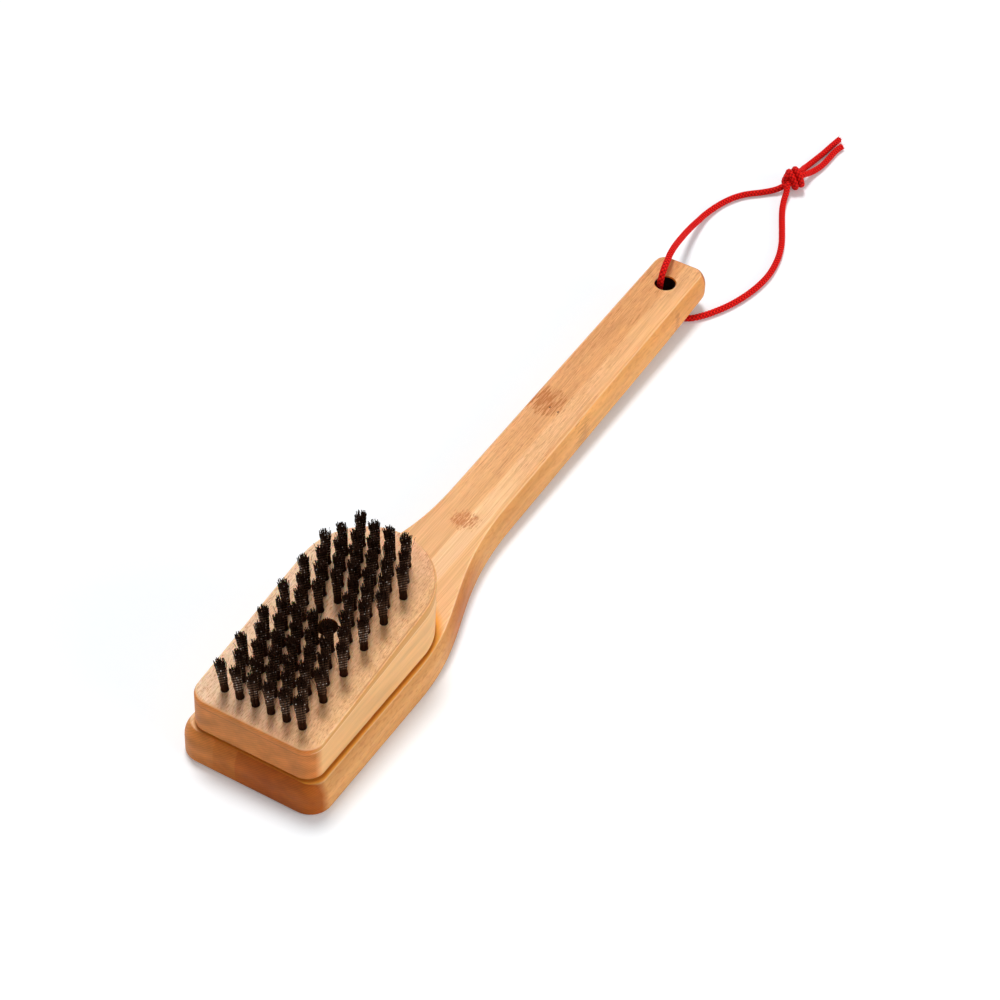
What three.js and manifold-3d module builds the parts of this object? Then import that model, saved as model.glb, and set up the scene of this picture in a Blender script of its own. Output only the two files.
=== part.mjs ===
// Bamboo grill brush: a one-piece paddle and grip, a wedge-shaped bristle block held on by a single
// screw, staggered tufts of wire set square to the block's sloping face, and a knotted hanging cord.
// Millimetres, +Z up. X runs from the head to the grip end, Y across, and the paddle's back is at Z = 0.

import * as THREE from 'three';
import { mergeVertices } from 'three/addons/utils/BufferGeometryUtils.js';
import Module from 'manifold-3d';

const wasm = await Module();
wasm.setup();

// Whole brush
const LENGTH = 307;
const GAP = 0.3;

// Paddle and grip, cut from one laminated board
const BOARD_THICKNESS = 13;
const SIDE_CROWN_START_Z = 7;
const SIDE_CROWN_RADIUS = 9;
const TOP_EDGE_RADIUS = 1.1;
const PADDLE_BACK_EDGE_RADIUS = 0.9;
const GRIP_BACK_EDGE_RADIUS = 2.6;
const GRIP_END_BACK_EDGE_RADIUS = 4.4;
const BOARD_EDGE_STEPS = 3;
const PADDLE_WIDTH = 56.4;
const PADDLE_CORNER_RADIUS = 8;
const SHOULDER_START_X = 64;
const SHOULDER_END_X = 150;
const SHOULDER_OUTER_PULL = 34;
const SHOULDER_INNER_PULL = 42;
const GRIP_WIDTH = 25.2;
const GRIP_END_WIDTH = 23.8;
const GRIP_CORNER_RADIUS = 6;
const END_ROUNDING_X = LENGTH - 40;
const RAKE_START_X = 130;
const RAKE = Math.tan(THREE.MathUtils.degToRad(1.2));
const HANGING_HOLE_X = 290;
const HANGING_HOLE_RADIUS = 4.15;

// Bristle block: a D-shaped wedge, low at the front and high towards the grip
const BLOCK_FRONT_X = 2.8;
const BLOCK_REAR_X = 95.6;
const BLOCK_WIDTH = 49.6;
const BLOCK_CORNER_RADIUS = 6.5;
const BLOCK_EDGE_RADIUS = 1;
const BLOCK_EDGE_STEPS = 3;
const BLOCK_BOTTOM_Z = BOARD_THICKNESS + GAP;
const FACE_Z = 27.2;
const FACE_SLOPE = 0.124;
const FACE_ANGLE = Math.atan(FACE_SLOPE);

// Tufts, in the plane of the sloping face: U runs up the slope from above X = 0, V is Y
const ROW_COUNT = 13;
const ROW_PITCH = 6.13;
const TUFT_PITCH = 6.08;
const FIRST_ROW_U = 11.25;
const WIDE_ROW_TUFTS = 6;
const NARROW_ROW_TUFTS = 5;
const REAR_ROW_TUFTS = 4;
const SCREW_CLEARANCE_RADIUS = 5.8;
const TUFT_LENGTH = 15.5;
const RING_STRANDS = 5;
const RING_RADIUS_AT_ROOT = 1.05;
const RING_RADIUS_AT_TIP = 1.95;
const STRAND_ROOT_RADIUS = 0.42;
const STRAND_TIP_RADIUS = 0.34;
const STRAND_SIDES = 3;
const STRAND_SINK = 0.8;
const STRAND_UNEVENNESS = 0.8;

// Slices of the block's face that carry the strands
const SLICE_THICKNESS = 2.2;
const SLICE_MARGIN = 6;
const SLICE_FRONT_U = 8.5;
const SLICE_CORNER_RADIUS = 2;
const SCREW_BAY_FRONT_U = 44.6;
const SCREW_BAY_REAR_U = 57.2;
const SCREW_BAY_HALF_WIDTH = 4.4;

// Screw that fastens the block, down a deep counterbore between the tufts
const SCREW_X = 48.9;
const COUNTERBORE_RADIUS = 3.6;
const COUNTERBORE_FLOOR_Z = 20;
const SCREW_HEAD_RADIUS = 3;
const SCREW_HEAD_HEIGHT = 2.2;
const SCREW_RIM_HEIGHT = 1.1;
const SCREW_DOME_RADIUS = 2.4;
const SCREW_DOME_HEIGHT = 1.87;
const SCREW_SHANK_RADIUS = 1.8;
const SCREW_POINT_LENGTH = 3;
const SCREW_TIP_Z = 3.6;
const PILOT_FLOOR_Z = 3;

// Hanging cord
const CORD_RADIUS = 1.35;
const CORD_SIDES = 8;
const CORD_STEPS = 80;
const TAIL_STEPS = 8;
const KNOT_CENTRE = new THREE.Vector3(394.4, -6.9, 5);
const KNOT_YAW = THREE.MathUtils.degToRad(-13);
const KNOT_LENGTH = 9;
const KNOT_END_RADIUS = 3.4;
const KNOT_WRAP_RADIUS = 4.8;
const KNOT_WRAPS = 2;
const KNOT_STEPS_PER_WRAP = 6;

const CURVE_STEPS = 10;
const ROUND_STEPS = 28;

// Loop of the cord: from the knot over the grip end, down the hole, under the grip and back to the knot
const CORD_ROUTE = [
  [389.4, -4.1, 3.6], [387, -2.7, 2.3], [385.1, -0.4, 1.6], [382.7, 2, 1.4], [377.1, 7.5, 1.4],
  [372, 10.6, 1.4], [365.5, 13, 1.4], [355.4, 14.5, 2.2], [348.6, 14.3, 3.5], [341.1, 13.6, 5.6],
  [332.6, 12.2, 8.6], [323.7, 10.2, 12.3], [314.7, 8, 16.2], [307, 6, 19.2], [302.2, 4.8, 20.4],
  [297.9, 3.6, 21], [294.3, 2.8, 20.7], [291.4, 2.2, 19.4], [290, 2, 17.2], [290.1, 2.3, 11],
  [290.1, 2.3, 6.5], [290, 1.4, 3.8], [290, -0.6, 2], [290.1, -3.3, 1.4], [290.6, -6.4, 1.4],
  [293, -11, 1.4], [296.9, -14.3, 1.4], [304, -18.3, 1.4], [310.2, -20.9, 1.4], [318.5, -23.3, 1.4],
  [326.3, -24.6, 1.4], [333.3, -25, 1.4], [340, -24.5, 1.4], [348.2, -22.9, 1.4], [355.9, -20.3, 1.4],
  [363.2, -16.9, 1.4], [370.4, -13.3, 1.4], [377, -10.2, 1.4], [382.6, -8.2, 1.9], [386, -7.5, 2.9],
  [388.7, -7.2, 3.6],
];
const LONG_TAIL_ROUTE = [
  [400.1, -6.5, 3.6], [403.6, -6.2, 3.3], [407.6, -6.2, 2.6], [411.7, -6.5, 2], [417.1, -7, 1.5],
  [422.2, -7.6, 1.4], [427.4, -8.1, 1.4], [434.4, -8.9, 1.4],
];
const SHORT_TAIL_ROUTE = [
  [399.4, -9.7, 3.6], [403.5, -9.5, 2.9], [407.8, -10, 2], [413.1, -10.8, 1.5], [419.5, -11.1, 1.4],
  [425.2, -11.5, 1.4], [430.4, -12.3, 1.4],
];

function material(color, roughness, metalness) {
  return new THREE.MeshStandardMaterial({ color, roughness, metalness });
}

const bambooBoard = material('#e2ad78', 0.55, 0);
const bambooBlock = material('#dcab7e', 0.6, 0);
const blackWire = material('#1d1a18', 0.4, 0.85);
const screwSteel = material('#3a3836', 0.45, 1);
const redCord = material('#b3171c', 0.8, 0);

function solidFrom(geometry) {
  const bare = geometry.clone();
  bare.deleteAttribute('normal');
  bare.deleteAttribute('uv');
  const merged = mergeVertices(bare, 1e-4);
  const vertProperties = new Float32Array(merged.attributes.position.array);
  const triVerts = new Uint32Array(merged.index.array);
  return new wasm.Manifold(new wasm.Mesh({ numProp: 3, vertProperties, triVerts }));
}

function geometryFrom(solid) {
  const mesh = solid.getMesh();
  const geometry = new THREE.BufferGeometry();
  geometry.setAttribute('position', new THREE.BufferAttribute(new Float32Array(mesh.vertProperties), 3));
  geometry.setIndex(new THREE.BufferAttribute(new Uint32Array(mesh.triVerts), 1));
  geometry.computeVertexNormals();
  return geometry;
}

function roundPlate(shape, bottom, top, edgeRadius, edgeSteps) {
  const geometry = new THREE.ExtrudeGeometry(shape, {
    depth: top - bottom - 2 * edgeRadius,
    bevelEnabled: edgeRadius > 0,
    bevelThickness: edgeRadius,
    bevelSize: edgeRadius,
    bevelOffset: -edgeRadius,
    bevelSegments: edgeSteps,
    curveSegments: CURVE_STEPS,
  });
  return geometry.translate(0, 0, bottom + edgeRadius);
}

function uprightCylinder(x, radius, bottom, top) {
  const geometry = new THREE.CylinderGeometry(radius, radius, top - bottom, ROUND_STEPS);
  return geometry.rotateX(Math.PI / 2).translate(x, 0, (bottom + top) / 2);
}

// The group's origin lies under the middle of the brush.
const brush = new THREE.Group();
brush.position.x = -LENGTH / 2;

function addPart(name, geometry, finish, parent = brush) {
  const mesh = new THREE.Mesh(geometry, finish);
  mesh.name = name;
  parent.add(mesh);
}

// Frame of the sloping face, in which the slices and strands are modelled
const face = new THREE.Group();
face.position.z = FACE_Z;
face.rotation.y = -FACE_ANGLE;
face.updateMatrix();
brush.add(face);

// Paddle and grip outline, seen from above
function boardOutline() {
  const paddle = PADDLE_WIDTH / 2;
  const corner = PADDLE_CORNER_RADIUS;
  const waist = GRIP_WIDTH / 2;
  const end = GRIP_END_WIDTH / 2;
  const endCorner = GRIP_CORNER_RADIUS;
  const taper = THREE.MathUtils.mapLinear(END_ROUNDING_X, SHOULDER_END_X, LENGTH - endCorner, waist, end);
  const outerX = SHOULDER_START_X + SHOULDER_OUTER_PULL;
  const innerX = SHOULDER_END_X - SHOULDER_INNER_PULL;
  const shape = new THREE.Shape();
  shape.moveTo(corner, -paddle);
  shape.lineTo(SHOULDER_START_X, -paddle);
  shape.bezierCurveTo(outerX, -paddle, innerX, -waist, SHOULDER_END_X, -waist);
  shape.lineTo(END_ROUNDING_X, -taper);
  shape.lineTo(LENGTH - endCorner, -end);
  shape.absarc(LENGTH - endCorner, -end + endCorner, endCorner, -Math.PI / 2, 0);
  shape.absarc(LENGTH - endCorner, end - endCorner, endCorner, 0, Math.PI / 2);
  shape.lineTo(END_ROUNDING_X, taper);
  shape.lineTo(SHOULDER_END_X, waist);
  shape.bezierCurveTo(innerX, waist, outerX, paddle, SHOULDER_START_X, paddle);
  shape.lineTo(corner, paddle);
  shape.absarc(corner, paddle - corner, corner, Math.PI / 2, Math.PI);
  shape.absarc(corner, -paddle + corner, corner, Math.PI, 1.5 * Math.PI);
  return shape;
}

// Rounding of the back edge: slight at the paddle, more along the grip and most at its end
function backEdgeRadius(x) {
  const { clamp, inverseLerp, lerp } = THREE.MathUtils;
  const pastShoulder = clamp(inverseLerp(SHOULDER_START_X, SHOULDER_END_X, x), 0, 1);
  const pastGrip = clamp(inverseLerp(END_ROUNDING_X, LENGTH, x), 0, 1);
  const alongGrip = lerp(PADDLE_BACK_EDGE_RADIUS, GRIP_BACK_EDGE_RADIUS, pastShoulder);
  return lerp(alongGrip, GRIP_END_BACK_EDGE_RADIUS, pastGrip);
}

function angles(start, end) {
  const step = (end - start) / BOARD_EDGE_STEPS;
  return Array.from({ length: BOARD_EDGE_STEPS + 1 }, (_, i) => start + step * i);
}

// Section of the board's side: [inset, height] round the back edge, up the wall and its crown, to the top
function boardSection(x) {
  const back = backEdgeRadius(x);
  const rise = BOARD_THICKNESS - TOP_EDGE_RADIUS - SIDE_CROWN_START_Z;
  const run = Math.sqrt((SIDE_CROWN_RADIUS - TOP_EDGE_RADIUS) ** 2 - rise ** 2);
  const lean = Math.atan2(rise, run);
  const backEdge = angles(0, Math.PI / 2).map((angle) => [
    back * (1 - Math.sin(angle)),
    back * (1 - Math.cos(angle)),
  ]);
  const crown = angles(0, lean).slice(0, -1).map((angle) => [
    SIDE_CROWN_RADIUS * (1 - Math.cos(angle)),
    SIDE_CROWN_START_Z + SIDE_CROWN_RADIUS * Math.sin(angle),
  ]);
  const topEdge = angles(lean, Math.PI / 2).map((angle) => [
    SIDE_CROWN_RADIUS - run - TOP_EDGE_RADIUS * Math.cos(angle),
    BOARD_THICKNESS - TOP_EDGE_RADIUS * (1 - Math.sin(angle)),
  ]);
  return [...backEdge, ...crown, ...topEdge];
}

// Inward direction at each corner of a closed outline that runs anticlockwise, longer where it turns
function inwardNormals(outline) {
  return outline.map((point, i) => {
    const before = outline[(i + outline.length - 1) % outline.length];
    const after = outline[(i + 1) % outline.length];
    const arriving = point.clone().sub(before).normalize();
    const along = arriving.clone().add(after.clone().sub(point).normalize()).normalize();
    return new THREE.Vector2(-along.y, along.x).divideScalar(along.dot(arriving));
  });
}

// The board, level: its outline drawn in by the section at each of its corners
function board() {
  const points = boardOutline().getPoints(CURVE_STEPS);
  const outline = points.filter((point, i) => point.distanceTo(points[(i + 1) % points.length]) > 1e-6);
  const normals = inwardNormals(outline);
  const sections = outline.map((point) => boardSection(point.x));
  const count = outline.length;
  const levels = sections[0].length;
  const rings = [];
  const positions = [];
  for (let level = 0; level < levels; level += 1) {
    const ring = outline.map((point, i) => point.clone().addScaledVector(normals[i], sections[i][level][0]));
    ring.forEach(({ x, y }, i) => positions.push(x, y, sections[i][level][1]));
    rings.push(ring);
  }
  const index = [];
  for (let level = 0; level < levels - 1; level += 1) {
    for (let i = 0; i < count; i += 1) {
      const here = level * count + i;
      const next = level * count + ((i + 1) % count);
      index.push(here, next, next + count, here, next + count, here + count);
    }
  }
  const top = (levels - 1) * count;
  for (const [a, b, c] of THREE.ShapeUtils.triangulateShape(rings[0], [])) {
    index.push(a, c, b);
  }
  for (const [a, b, c] of THREE.ShapeUtils.triangulateShape(rings[levels - 1], [])) {
    index.push(top + a, top + b, top + c);
  }
  const geometry = new THREE.BufferGeometry();
  geometry.setAttribute('position', new THREE.Float32BufferAttribute(positions, 3));
  geometry.setIndex(index);
  return solidFrom(geometry);
}

// The grip rises slightly behind the paddle, which leaves room under its end for the cord.
function handle() {
  const [grip, paddle] = board().splitByPlane([1, 0, 0], RAKE_START_X);
  const raised = geometryFrom(grip);
  raised.translate(-RAKE_START_X, 0, 0);
  raised.applyMatrix4(new THREE.Matrix4().makeShear(0, RAKE, 0, 0, 0, 0));
  raised.translate(RAKE_START_X, 0, 0);
  const hangingHole = uprightCylinder(HANGING_HOLE_X, HANGING_HOLE_RADIUS, -1, 2 * BOARD_THICKNESS);
  const pilotRadius = SCREW_SHANK_RADIUS + GAP;
  const pilotHole = uprightCylinder(SCREW_X, pilotRadius, PILOT_FLOOR_Z, BOARD_THICKNESS + 1);
  const joined = solidFrom(geometryFrom(paddle)).add(solidFrom(raised));
  return joined.subtract(solidFrom(hangingHole)).subtract(solidFrom(pilotHole));
}

// Outline with a half-round end towards the grip, seen square on; grow moves every side outwards.
function halfRoundOutline(front, rear, width, cornerRadius, grow = 0) {
  const half = width / 2 + grow;
  const start = front - grow;
  const arcX = rear - width / 2;
  const shape = new THREE.Shape();
  shape.moveTo(start + cornerRadius, -half);
  shape.lineTo(arcX, -half);
  shape.absarc(arcX, 0, half, -Math.PI / 2, 0);
  shape.absarc(arcX, 0, half, 0, Math.PI / 2);
  shape.lineTo(start + cornerRadius, half);
  shape.absarc(start + cornerRadius, half - cornerRadius, cornerRadius, Math.PI / 2, Math.PI);
  shape.absarc(start + cornerRadius, -half + cornerRadius, cornerRadius, Math.PI, 1.5 * Math.PI);
  return shape;
}

function blockOutline() {
  return halfRoundOutline(BLOCK_FRONT_X, BLOCK_REAR_X, BLOCK_WIDTH, BLOCK_CORNER_RADIUS);
}

function rectangleOutline(front, rear, low, high, grow) {
  const shape = new THREE.Shape();
  shape.moveTo(front - grow, low - grow);
  shape.lineTo(rear + grow, low - grow);
  shape.lineTo(rear + grow, high + grow);
  shape.lineTo(front - grow, high + grow);
  return shape;
}

// The four bays of the face: before, behind and on either side of the screw
const SLICE_HALF_WIDTH = BLOCK_WIDTH / 2 - SLICE_MARGIN;
const SLICE_REAR_U = BLOCK_REAR_X / Math.cos(FACE_ANGLE) - SLICE_MARGIN;
const bays = {
  bristles_front: {
    holds: (u) => u < SCREW_BAY_FRONT_U,
    outline: (grow) => rectangleOutline(
      SLICE_FRONT_U, SCREW_BAY_FRONT_U, -SLICE_HALF_WIDTH, SLICE_HALF_WIDTH, grow),
  },
  bristles_left: {
    holds: (u, v) => u > SCREW_BAY_FRONT_U && u < SCREW_BAY_REAR_U && v > 0,
    outline: (grow) => rectangleOutline(
      SCREW_BAY_FRONT_U, SCREW_BAY_REAR_U, SCREW_BAY_HALF_WIDTH, SLICE_HALF_WIDTH, grow),
  },
  bristles_right: {
    holds: (u, v) => u > SCREW_BAY_FRONT_U && u < SCREW_BAY_REAR_U && v < 0,
    outline: (grow) => rectangleOutline(
      SCREW_BAY_FRONT_U, SCREW_BAY_REAR_U, -SLICE_HALF_WIDTH, -SCREW_BAY_HALF_WIDTH, grow),
  },
  bristles_rear: {
    holds: (u) => u > SCREW_BAY_REAR_U,
    outline: (grow) => halfRoundOutline(
      SCREW_BAY_REAR_U, SLICE_REAR_U, 2 * SLICE_HALF_WIDTH, SLICE_CORNER_RADIUS, grow),
  },
};

// Wedge: the upper half of a flat block sheared to the slope of the face, with bays for the slices
function brushBlock() {
  const flat = roundPlate(blockOutline(), BLOCK_BOTTOM_Z, FACE_Z, BLOCK_EDGE_RADIUS, BLOCK_EDGE_STEPS);
  const middle = (BLOCK_BOTTOM_Z + FACE_Z) / 2;
  const position = flat.attributes.position;
  for (let i = 0; i < position.count; i += 1) {
    const rise = position.getZ(i) > middle ? FACE_SLOPE * position.getX(i) : 0;
    position.setZ(i, position.getZ(i) + rise);
  }
  let block = solidFrom(flat);
  for (const bay of Object.values(bays)) {
    const pocket = roundPlate(bay.outline(GAP / 2), -SLICE_THICKNESS - GAP, SLICE_THICKNESS, 0, 0);
    block = block.subtract(solidFrom(pocket.applyMatrix4(face.matrix)));
  }
  const counterbore = uprightCylinder(SCREW_X, COUNTERBORE_RADIUS, COUNTERBORE_FLOOR_Z, 2 * FACE_Z);
  const shankHole = uprightCylinder(SCREW_X, SCREW_SHANK_RADIUS + GAP, 0, COUNTERBORE_FLOOR_Z + 1);
  return block.subtract(solidFrom(counterbore)).subtract(solidFrom(shankHole));
}

// Roots of the tufts: wide and narrow rows in turn, a short last row, and none where the screw goes in
function tuftRoots() {
  const screwU = SCREW_X / Math.cos(FACE_ANGLE);
  const roots = [];
  for (let row = 0; row < ROW_COUNT; row += 1) {
    const alternate = row % 2 === 0 ? WIDE_ROW_TUFTS : NARROW_ROW_TUFTS;
    const count = row === ROW_COUNT - 1 ? REAR_ROW_TUFTS : alternate;
    const u = FIRST_ROW_U + row * ROW_PITCH;
    for (let i = 0; i < count; i += 1) {
      const v = (i - (count - 1) / 2) * TUFT_PITCH;
      if (Math.hypot(u - screwU, v) > SCREW_CLEARANCE_RADIUS) {
        roots.push({ u, v });
      }
    }
  }
  return roots;
}

function strand(root, tip) {
  const axis = tip.clone().sub(root);
  const geometry = new THREE.CylinderGeometry(
    STRAND_TIP_RADIUS, STRAND_ROOT_RADIUS, axis.length(), STRAND_SIDES);
  const cylinderAxis = new THREE.Vector3(0, 1, 0);
  const turn = new THREE.Quaternion().setFromUnitVectors(cylinderAxis, axis.clone().normalize());
  const middle = root.clone().add(tip).multiplyScalar(0.5);
  return geometry.applyQuaternion(turn).translate(middle.x, middle.y, middle.z);
}

// One strand stands in the middle of a tuft and a ring of strands flares out around it.
function tuftStrands({ u, v }) {
  const strands = [];
  for (let i = 0; i <= RING_STRANDS; i += 1) {
    const onRing = i < RING_STRANDS ? 1 : 0;
    const angle = (2 * Math.PI * i) / RING_STRANDS + u + v;
    const across = new THREE.Vector3(Math.cos(angle), Math.sin(angle), 0).multiplyScalar(onRing);
    const length = TUFT_LENGTH - STRAND_UNEVENNESS * (0.5 + 0.5 * Math.sin(3 * i + u * v));
    const root = new THREE.Vector3(u, v, -STRAND_SINK).addScaledVector(across, RING_RADIUS_AT_ROOT);
    const tip = new THREE.Vector3(u, v, length).addScaledVector(across, RING_RADIUS_AT_TIP);
    strands.push(strand(root, tip));
  }
  return strands;
}

function bristleSlice(bay) {
  const slice = solidFrom(roundPlate(bay.outline(-GAP / 2), -SLICE_THICKNESS, 0, 0, 0));
  const roots = tuftRoots().filter(({ u, v }) => bay.holds(u, v));
  const strands = roots.flatMap(tuftStrands).map(solidFrom);
  return wasm.Manifold.union([slice, ...strands]);
}

// Pan-head wood screw, standing on its point
function headScrew() {
  const seat = COUNTERBORE_FLOOR_Z + GAP;
  const profile = [
    [0, SCREW_TIP_Z],
    [SCREW_SHANK_RADIUS, SCREW_TIP_Z + SCREW_POINT_LENGTH],
    [SCREW_SHANK_RADIUS, seat],
    [SCREW_HEAD_RADIUS, seat],
    [SCREW_HEAD_RADIUS, seat + SCREW_RIM_HEIGHT],
    [SCREW_DOME_RADIUS, seat + SCREW_DOME_HEIGHT],
    [0, seat + SCREW_HEAD_HEIGHT],
  ].map(([radius, height]) => new THREE.Vector2(radius, height));
  return new THREE.LatheGeometry(profile, ROUND_STEPS).rotateX(Math.PI / 2).translate(SCREW_X, 0, 0);
}

function cordTube(route, steps) {
  const section = [];
  for (let i = 0; i < CORD_SIDES; i += 1) {
    const angle = (2 * Math.PI * i) / CORD_SIDES;
    section.push(new THREE.Vector2(Math.cos(angle), Math.sin(angle)).multiplyScalar(CORD_RADIUS));
  }
  const points = route.map((point) => new THREE.Vector3(...point));
  const path = new THREE.CatmullRomCurve3(points, false, 'centripetal');
  return new THREE.ExtrudeGeometry(new THREE.Shape(section), { steps, extrudePath: path });
}

// Overhand knot in the doubled cord, as a barrel with a swell for each wrap
function cordKnot() {
  const profile = [new THREE.Vector2(0, -KNOT_LENGTH / 2)];
  const steps = KNOT_WRAPS * KNOT_STEPS_PER_WRAP;
  for (let i = 0; i <= steps; i += 1) {
    const along = i / steps;
    const swell = Math.abs(Math.sin(Math.PI * KNOT_WRAPS * along));
    const radius = THREE.MathUtils.lerp(KNOT_END_RADIUS, KNOT_WRAP_RADIUS, swell);
    profile.push(new THREE.Vector2(radius, (along - 0.5) * KNOT_LENGTH));
  }
  profile.push(new THREE.Vector2(0, KNOT_LENGTH / 2));
  const barrel = new THREE.LatheGeometry(profile, 2 * CORD_SIDES).rotateZ(KNOT_YAW - Math.PI / 2);
  return barrel.translate(KNOT_CENTRE.x, KNOT_CENTRE.y, KNOT_CENTRE.z);
}

addPart('handle', geometryFrom(handle()), bambooBoard);
addPart('brush_block', geometryFrom(brushBlock()), bambooBlock);
for (const [name, bay] of Object.entries(bays)) {
  addPart(name, geometryFrom(bristleSlice(bay)), blackWire.clone(), face);
}
addPart('head_screw', headScrew(), screwSteel);
addPart('hanging_cord', cordTube(CORD_ROUTE, CORD_STEPS), redCord);
addPart('cord_knot', cordKnot(), redCord.clone());
addPart('cord_tail_long', cordTube(LONG_TAIL_ROUTE, TAIL_STEPS), redCord.clone());
addPart('cord_tail_short', cordTube(SHORT_TAIL_ROUTE, TAIL_STEPS), redCord.clone());

export default brush;
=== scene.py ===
# Looks of the bamboo grill brush: board, bristle block, wire tufts, screw and knotted cord.
from math import atan, atan2, cos, hypot, pi, radians, sin, sqrt, tan

import bmesh
import bpy
import numpy as np
from mathutils import Matrix, Vector


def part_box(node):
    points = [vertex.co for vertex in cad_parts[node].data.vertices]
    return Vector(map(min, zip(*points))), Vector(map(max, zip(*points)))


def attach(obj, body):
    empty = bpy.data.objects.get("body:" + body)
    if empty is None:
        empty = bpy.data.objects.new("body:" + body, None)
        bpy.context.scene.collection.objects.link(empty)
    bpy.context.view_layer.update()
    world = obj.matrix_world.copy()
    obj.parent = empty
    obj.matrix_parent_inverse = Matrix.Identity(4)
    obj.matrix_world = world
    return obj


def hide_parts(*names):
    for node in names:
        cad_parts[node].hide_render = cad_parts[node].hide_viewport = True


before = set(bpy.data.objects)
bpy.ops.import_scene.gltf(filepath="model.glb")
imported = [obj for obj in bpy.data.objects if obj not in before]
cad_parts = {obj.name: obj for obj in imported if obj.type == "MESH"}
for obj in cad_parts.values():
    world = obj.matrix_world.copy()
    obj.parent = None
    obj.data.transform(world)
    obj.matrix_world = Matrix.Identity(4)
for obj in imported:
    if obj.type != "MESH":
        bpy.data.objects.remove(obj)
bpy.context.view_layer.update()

noise = np.random.default_rng(7)

# Lengths are in millimetres, with X from the paddle's front as in the CAD source, until a mesh is made.
MM = 0.001
BODY = "root"
UP = Vector((0, 0, 1))
board_low, board_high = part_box("handle")
LENGTH = (board_high.x - board_low.x) / MM

# Board: paddle, shoulder and grip
BOARD_THICKNESS = 13
PADDLE_BACK_EDGE_RADIUS = 0.9
GRIP_BACK_EDGE_RADIUS = 2.6
GRIP_END_BACK_EDGE_RADIUS = 4.4
GRIP_END_ROUNDING_LENGTH = 40
TOP_EDGE_RADIUS = 1.1
SIDE_CROWN_RADIUS = 9
SIDE_CROWN_START_Z = 7
PADDLE_HALF_WIDTH = board_high.y / MM
PADDLE_CORNER_RADIUS = 8
SHOULDER_START_X = 64
SHOULDER_END_X = 150
SHOULDER_OUTER_PULL = 34
SHOULDER_INNER_PULL = 42
GRIP_HALF_WIDTH = 12.6
GRIP_END_HALF_WIDTH = 11.9
GRIP_CORNER_RADIUS = 6
RAKE_START_X = 130
RAKE = tan(radians(1.2))
HANGING_HOLE_X = 290
HANGING_HOLE_RADIUS = 4.15
HOLE_RIM = 0.35
CUT_MARGIN = 2

# Bristle block
BLOCK_FRONT_X = 2.8
BLOCK_REAR_X = 95.6
BLOCK_HALF_WIDTH = 24.8
BLOCK_CORNER_RADIUS = 6.5
BLOCK_TOP_EDGE_RADIUS = 1.2
BLOCK_BACK_EDGE_RADIUS = 1.5
BLOCK_BOTTOM_Z = BOARD_THICKNESS + 0.05
BLOCK_REAR_ARC = radians(88)
FACE_Z = 27.2
FACE_SLOPE = 0.124
FACE_ANGLE = atan(FACE_SLOPE)
FACE_COS = cos(FACE_ANGLE)
FACE_SIN = sin(FACE_ANGLE)
SCREW_X = 48.9
COUNTERBORE_RADIUS = 3.6
COUNTERBORE_FLOOR_Z = 20

# Points along straights and the shoulder, and round corners and edges
PADDLE_FIRST_STATION_X = 12
BLOCK_FIRST_STATION_X = 15
STATION_STEP = 8
GRIP_STATION_STEP = 10
CORNER_STEPS = 12
SHOULDER_STEPS = 40
REAR_STEPS = 44
EDGE_STEPS = 8

# Edges of the outlines: the flat rim inside a rounded edge, and the longest normal at a corner
FLAT_RIM = 0.8
LONGEST_NORMAL = 2

# Screw: shank, and a pan head with a flat rim, a wall and a crown
SCREW_SEAT_Z = COUNTERBORE_FLOOR_Z + 0.3
SCREW_SHANK_RADIUS = 1.8
SCREW_SHANK_LENGTH = 3
SCREW_HEAD_RADIUS = 3
SCREW_FLAT_RADIUS = 1.6
SCREW_WALL_HEIGHT = 0.9
SCREW_CROWN_HEIGHT = 1.3
RECESS_HALF_LENGTH = 1.7
RECESS_HALF_WIDTH = 0.42
RECESS_DEPTH = 1.3

# Tufts, in the plane of the sloping face: U up the slope from above X = 0, V across
ROW_COUNT = 13
ROW_PITCH = 6.13
TUFT_PITCH = 6.08
FIRST_ROW_U = 11.25
WIDE_ROW_TUFTS = 6
NARROW_ROW_TUFTS = 5
REAR_ROW_TUFTS = 4
SCREW_CLEARANCE_RADIUS = 5.8
SCREW_BAY_FRONT_U = 44.6
SCREW_BAY_REAR_U = 57.2
TUFT_HOLE_RADIUS = 1.5
TUFT_HOLE_DEPTH = 4
TUFT_HOLE_SIDES = 20
TUFT_LENGTH = 15.5
TUFT_ROOT_RADIUS = 1.2
TUFT_TIP_RADIUS = 2.0
TUFT_LEAN = 0.25
ROOT_DEPTH = 1.5
COLLAR_HEIGHT = 3.4

# Wires: their number and form, their scatter, and the tone that they carry for the material, which is
# painted light and shade up each wire with painted glints
WIRES_PER_TUFT = 56
WIRE_RADIUS = 0.175
WIRE_STEPS = 16
WIRE_SIDES = 3
SPLAY_POWER = 1.35
TURN_SCATTER = 0.15
TIP_SCATTER = 0.13
LENGTH_SCATTER = 0.22
STRAY_SHARE = 0.06
STRAY_RADIUS = 0.08
STRAY_SPREAD = 1.2
CRIMP_LENGTH = 4
CRIMP_WIDTH = 0.14
CRIMP_START = 1.5
CRIMP_PHASE_SCATTER = 0.35
CRIMP_SIDE_SCATTER = 0.5
PAINTED_LIGHT_HEIGHTS = [0, 0.2, 0.29, 0.78, 0.9, 1]
PAINTED_LIGHT_LEVELS = [0, 0, 0.85, 0.7, 0.15, 0.03]
TUFT_TONE_RANGE = (0.65, 1.1)
WIRE_TONE_RANGE = (0.7, 1.1)
GLINT_SHARE = 0.5
GLINT_START = 0.55
GLINT_TONE = 1.4
GOLDEN_ANGLE = pi * (3 - sqrt(5))

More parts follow.
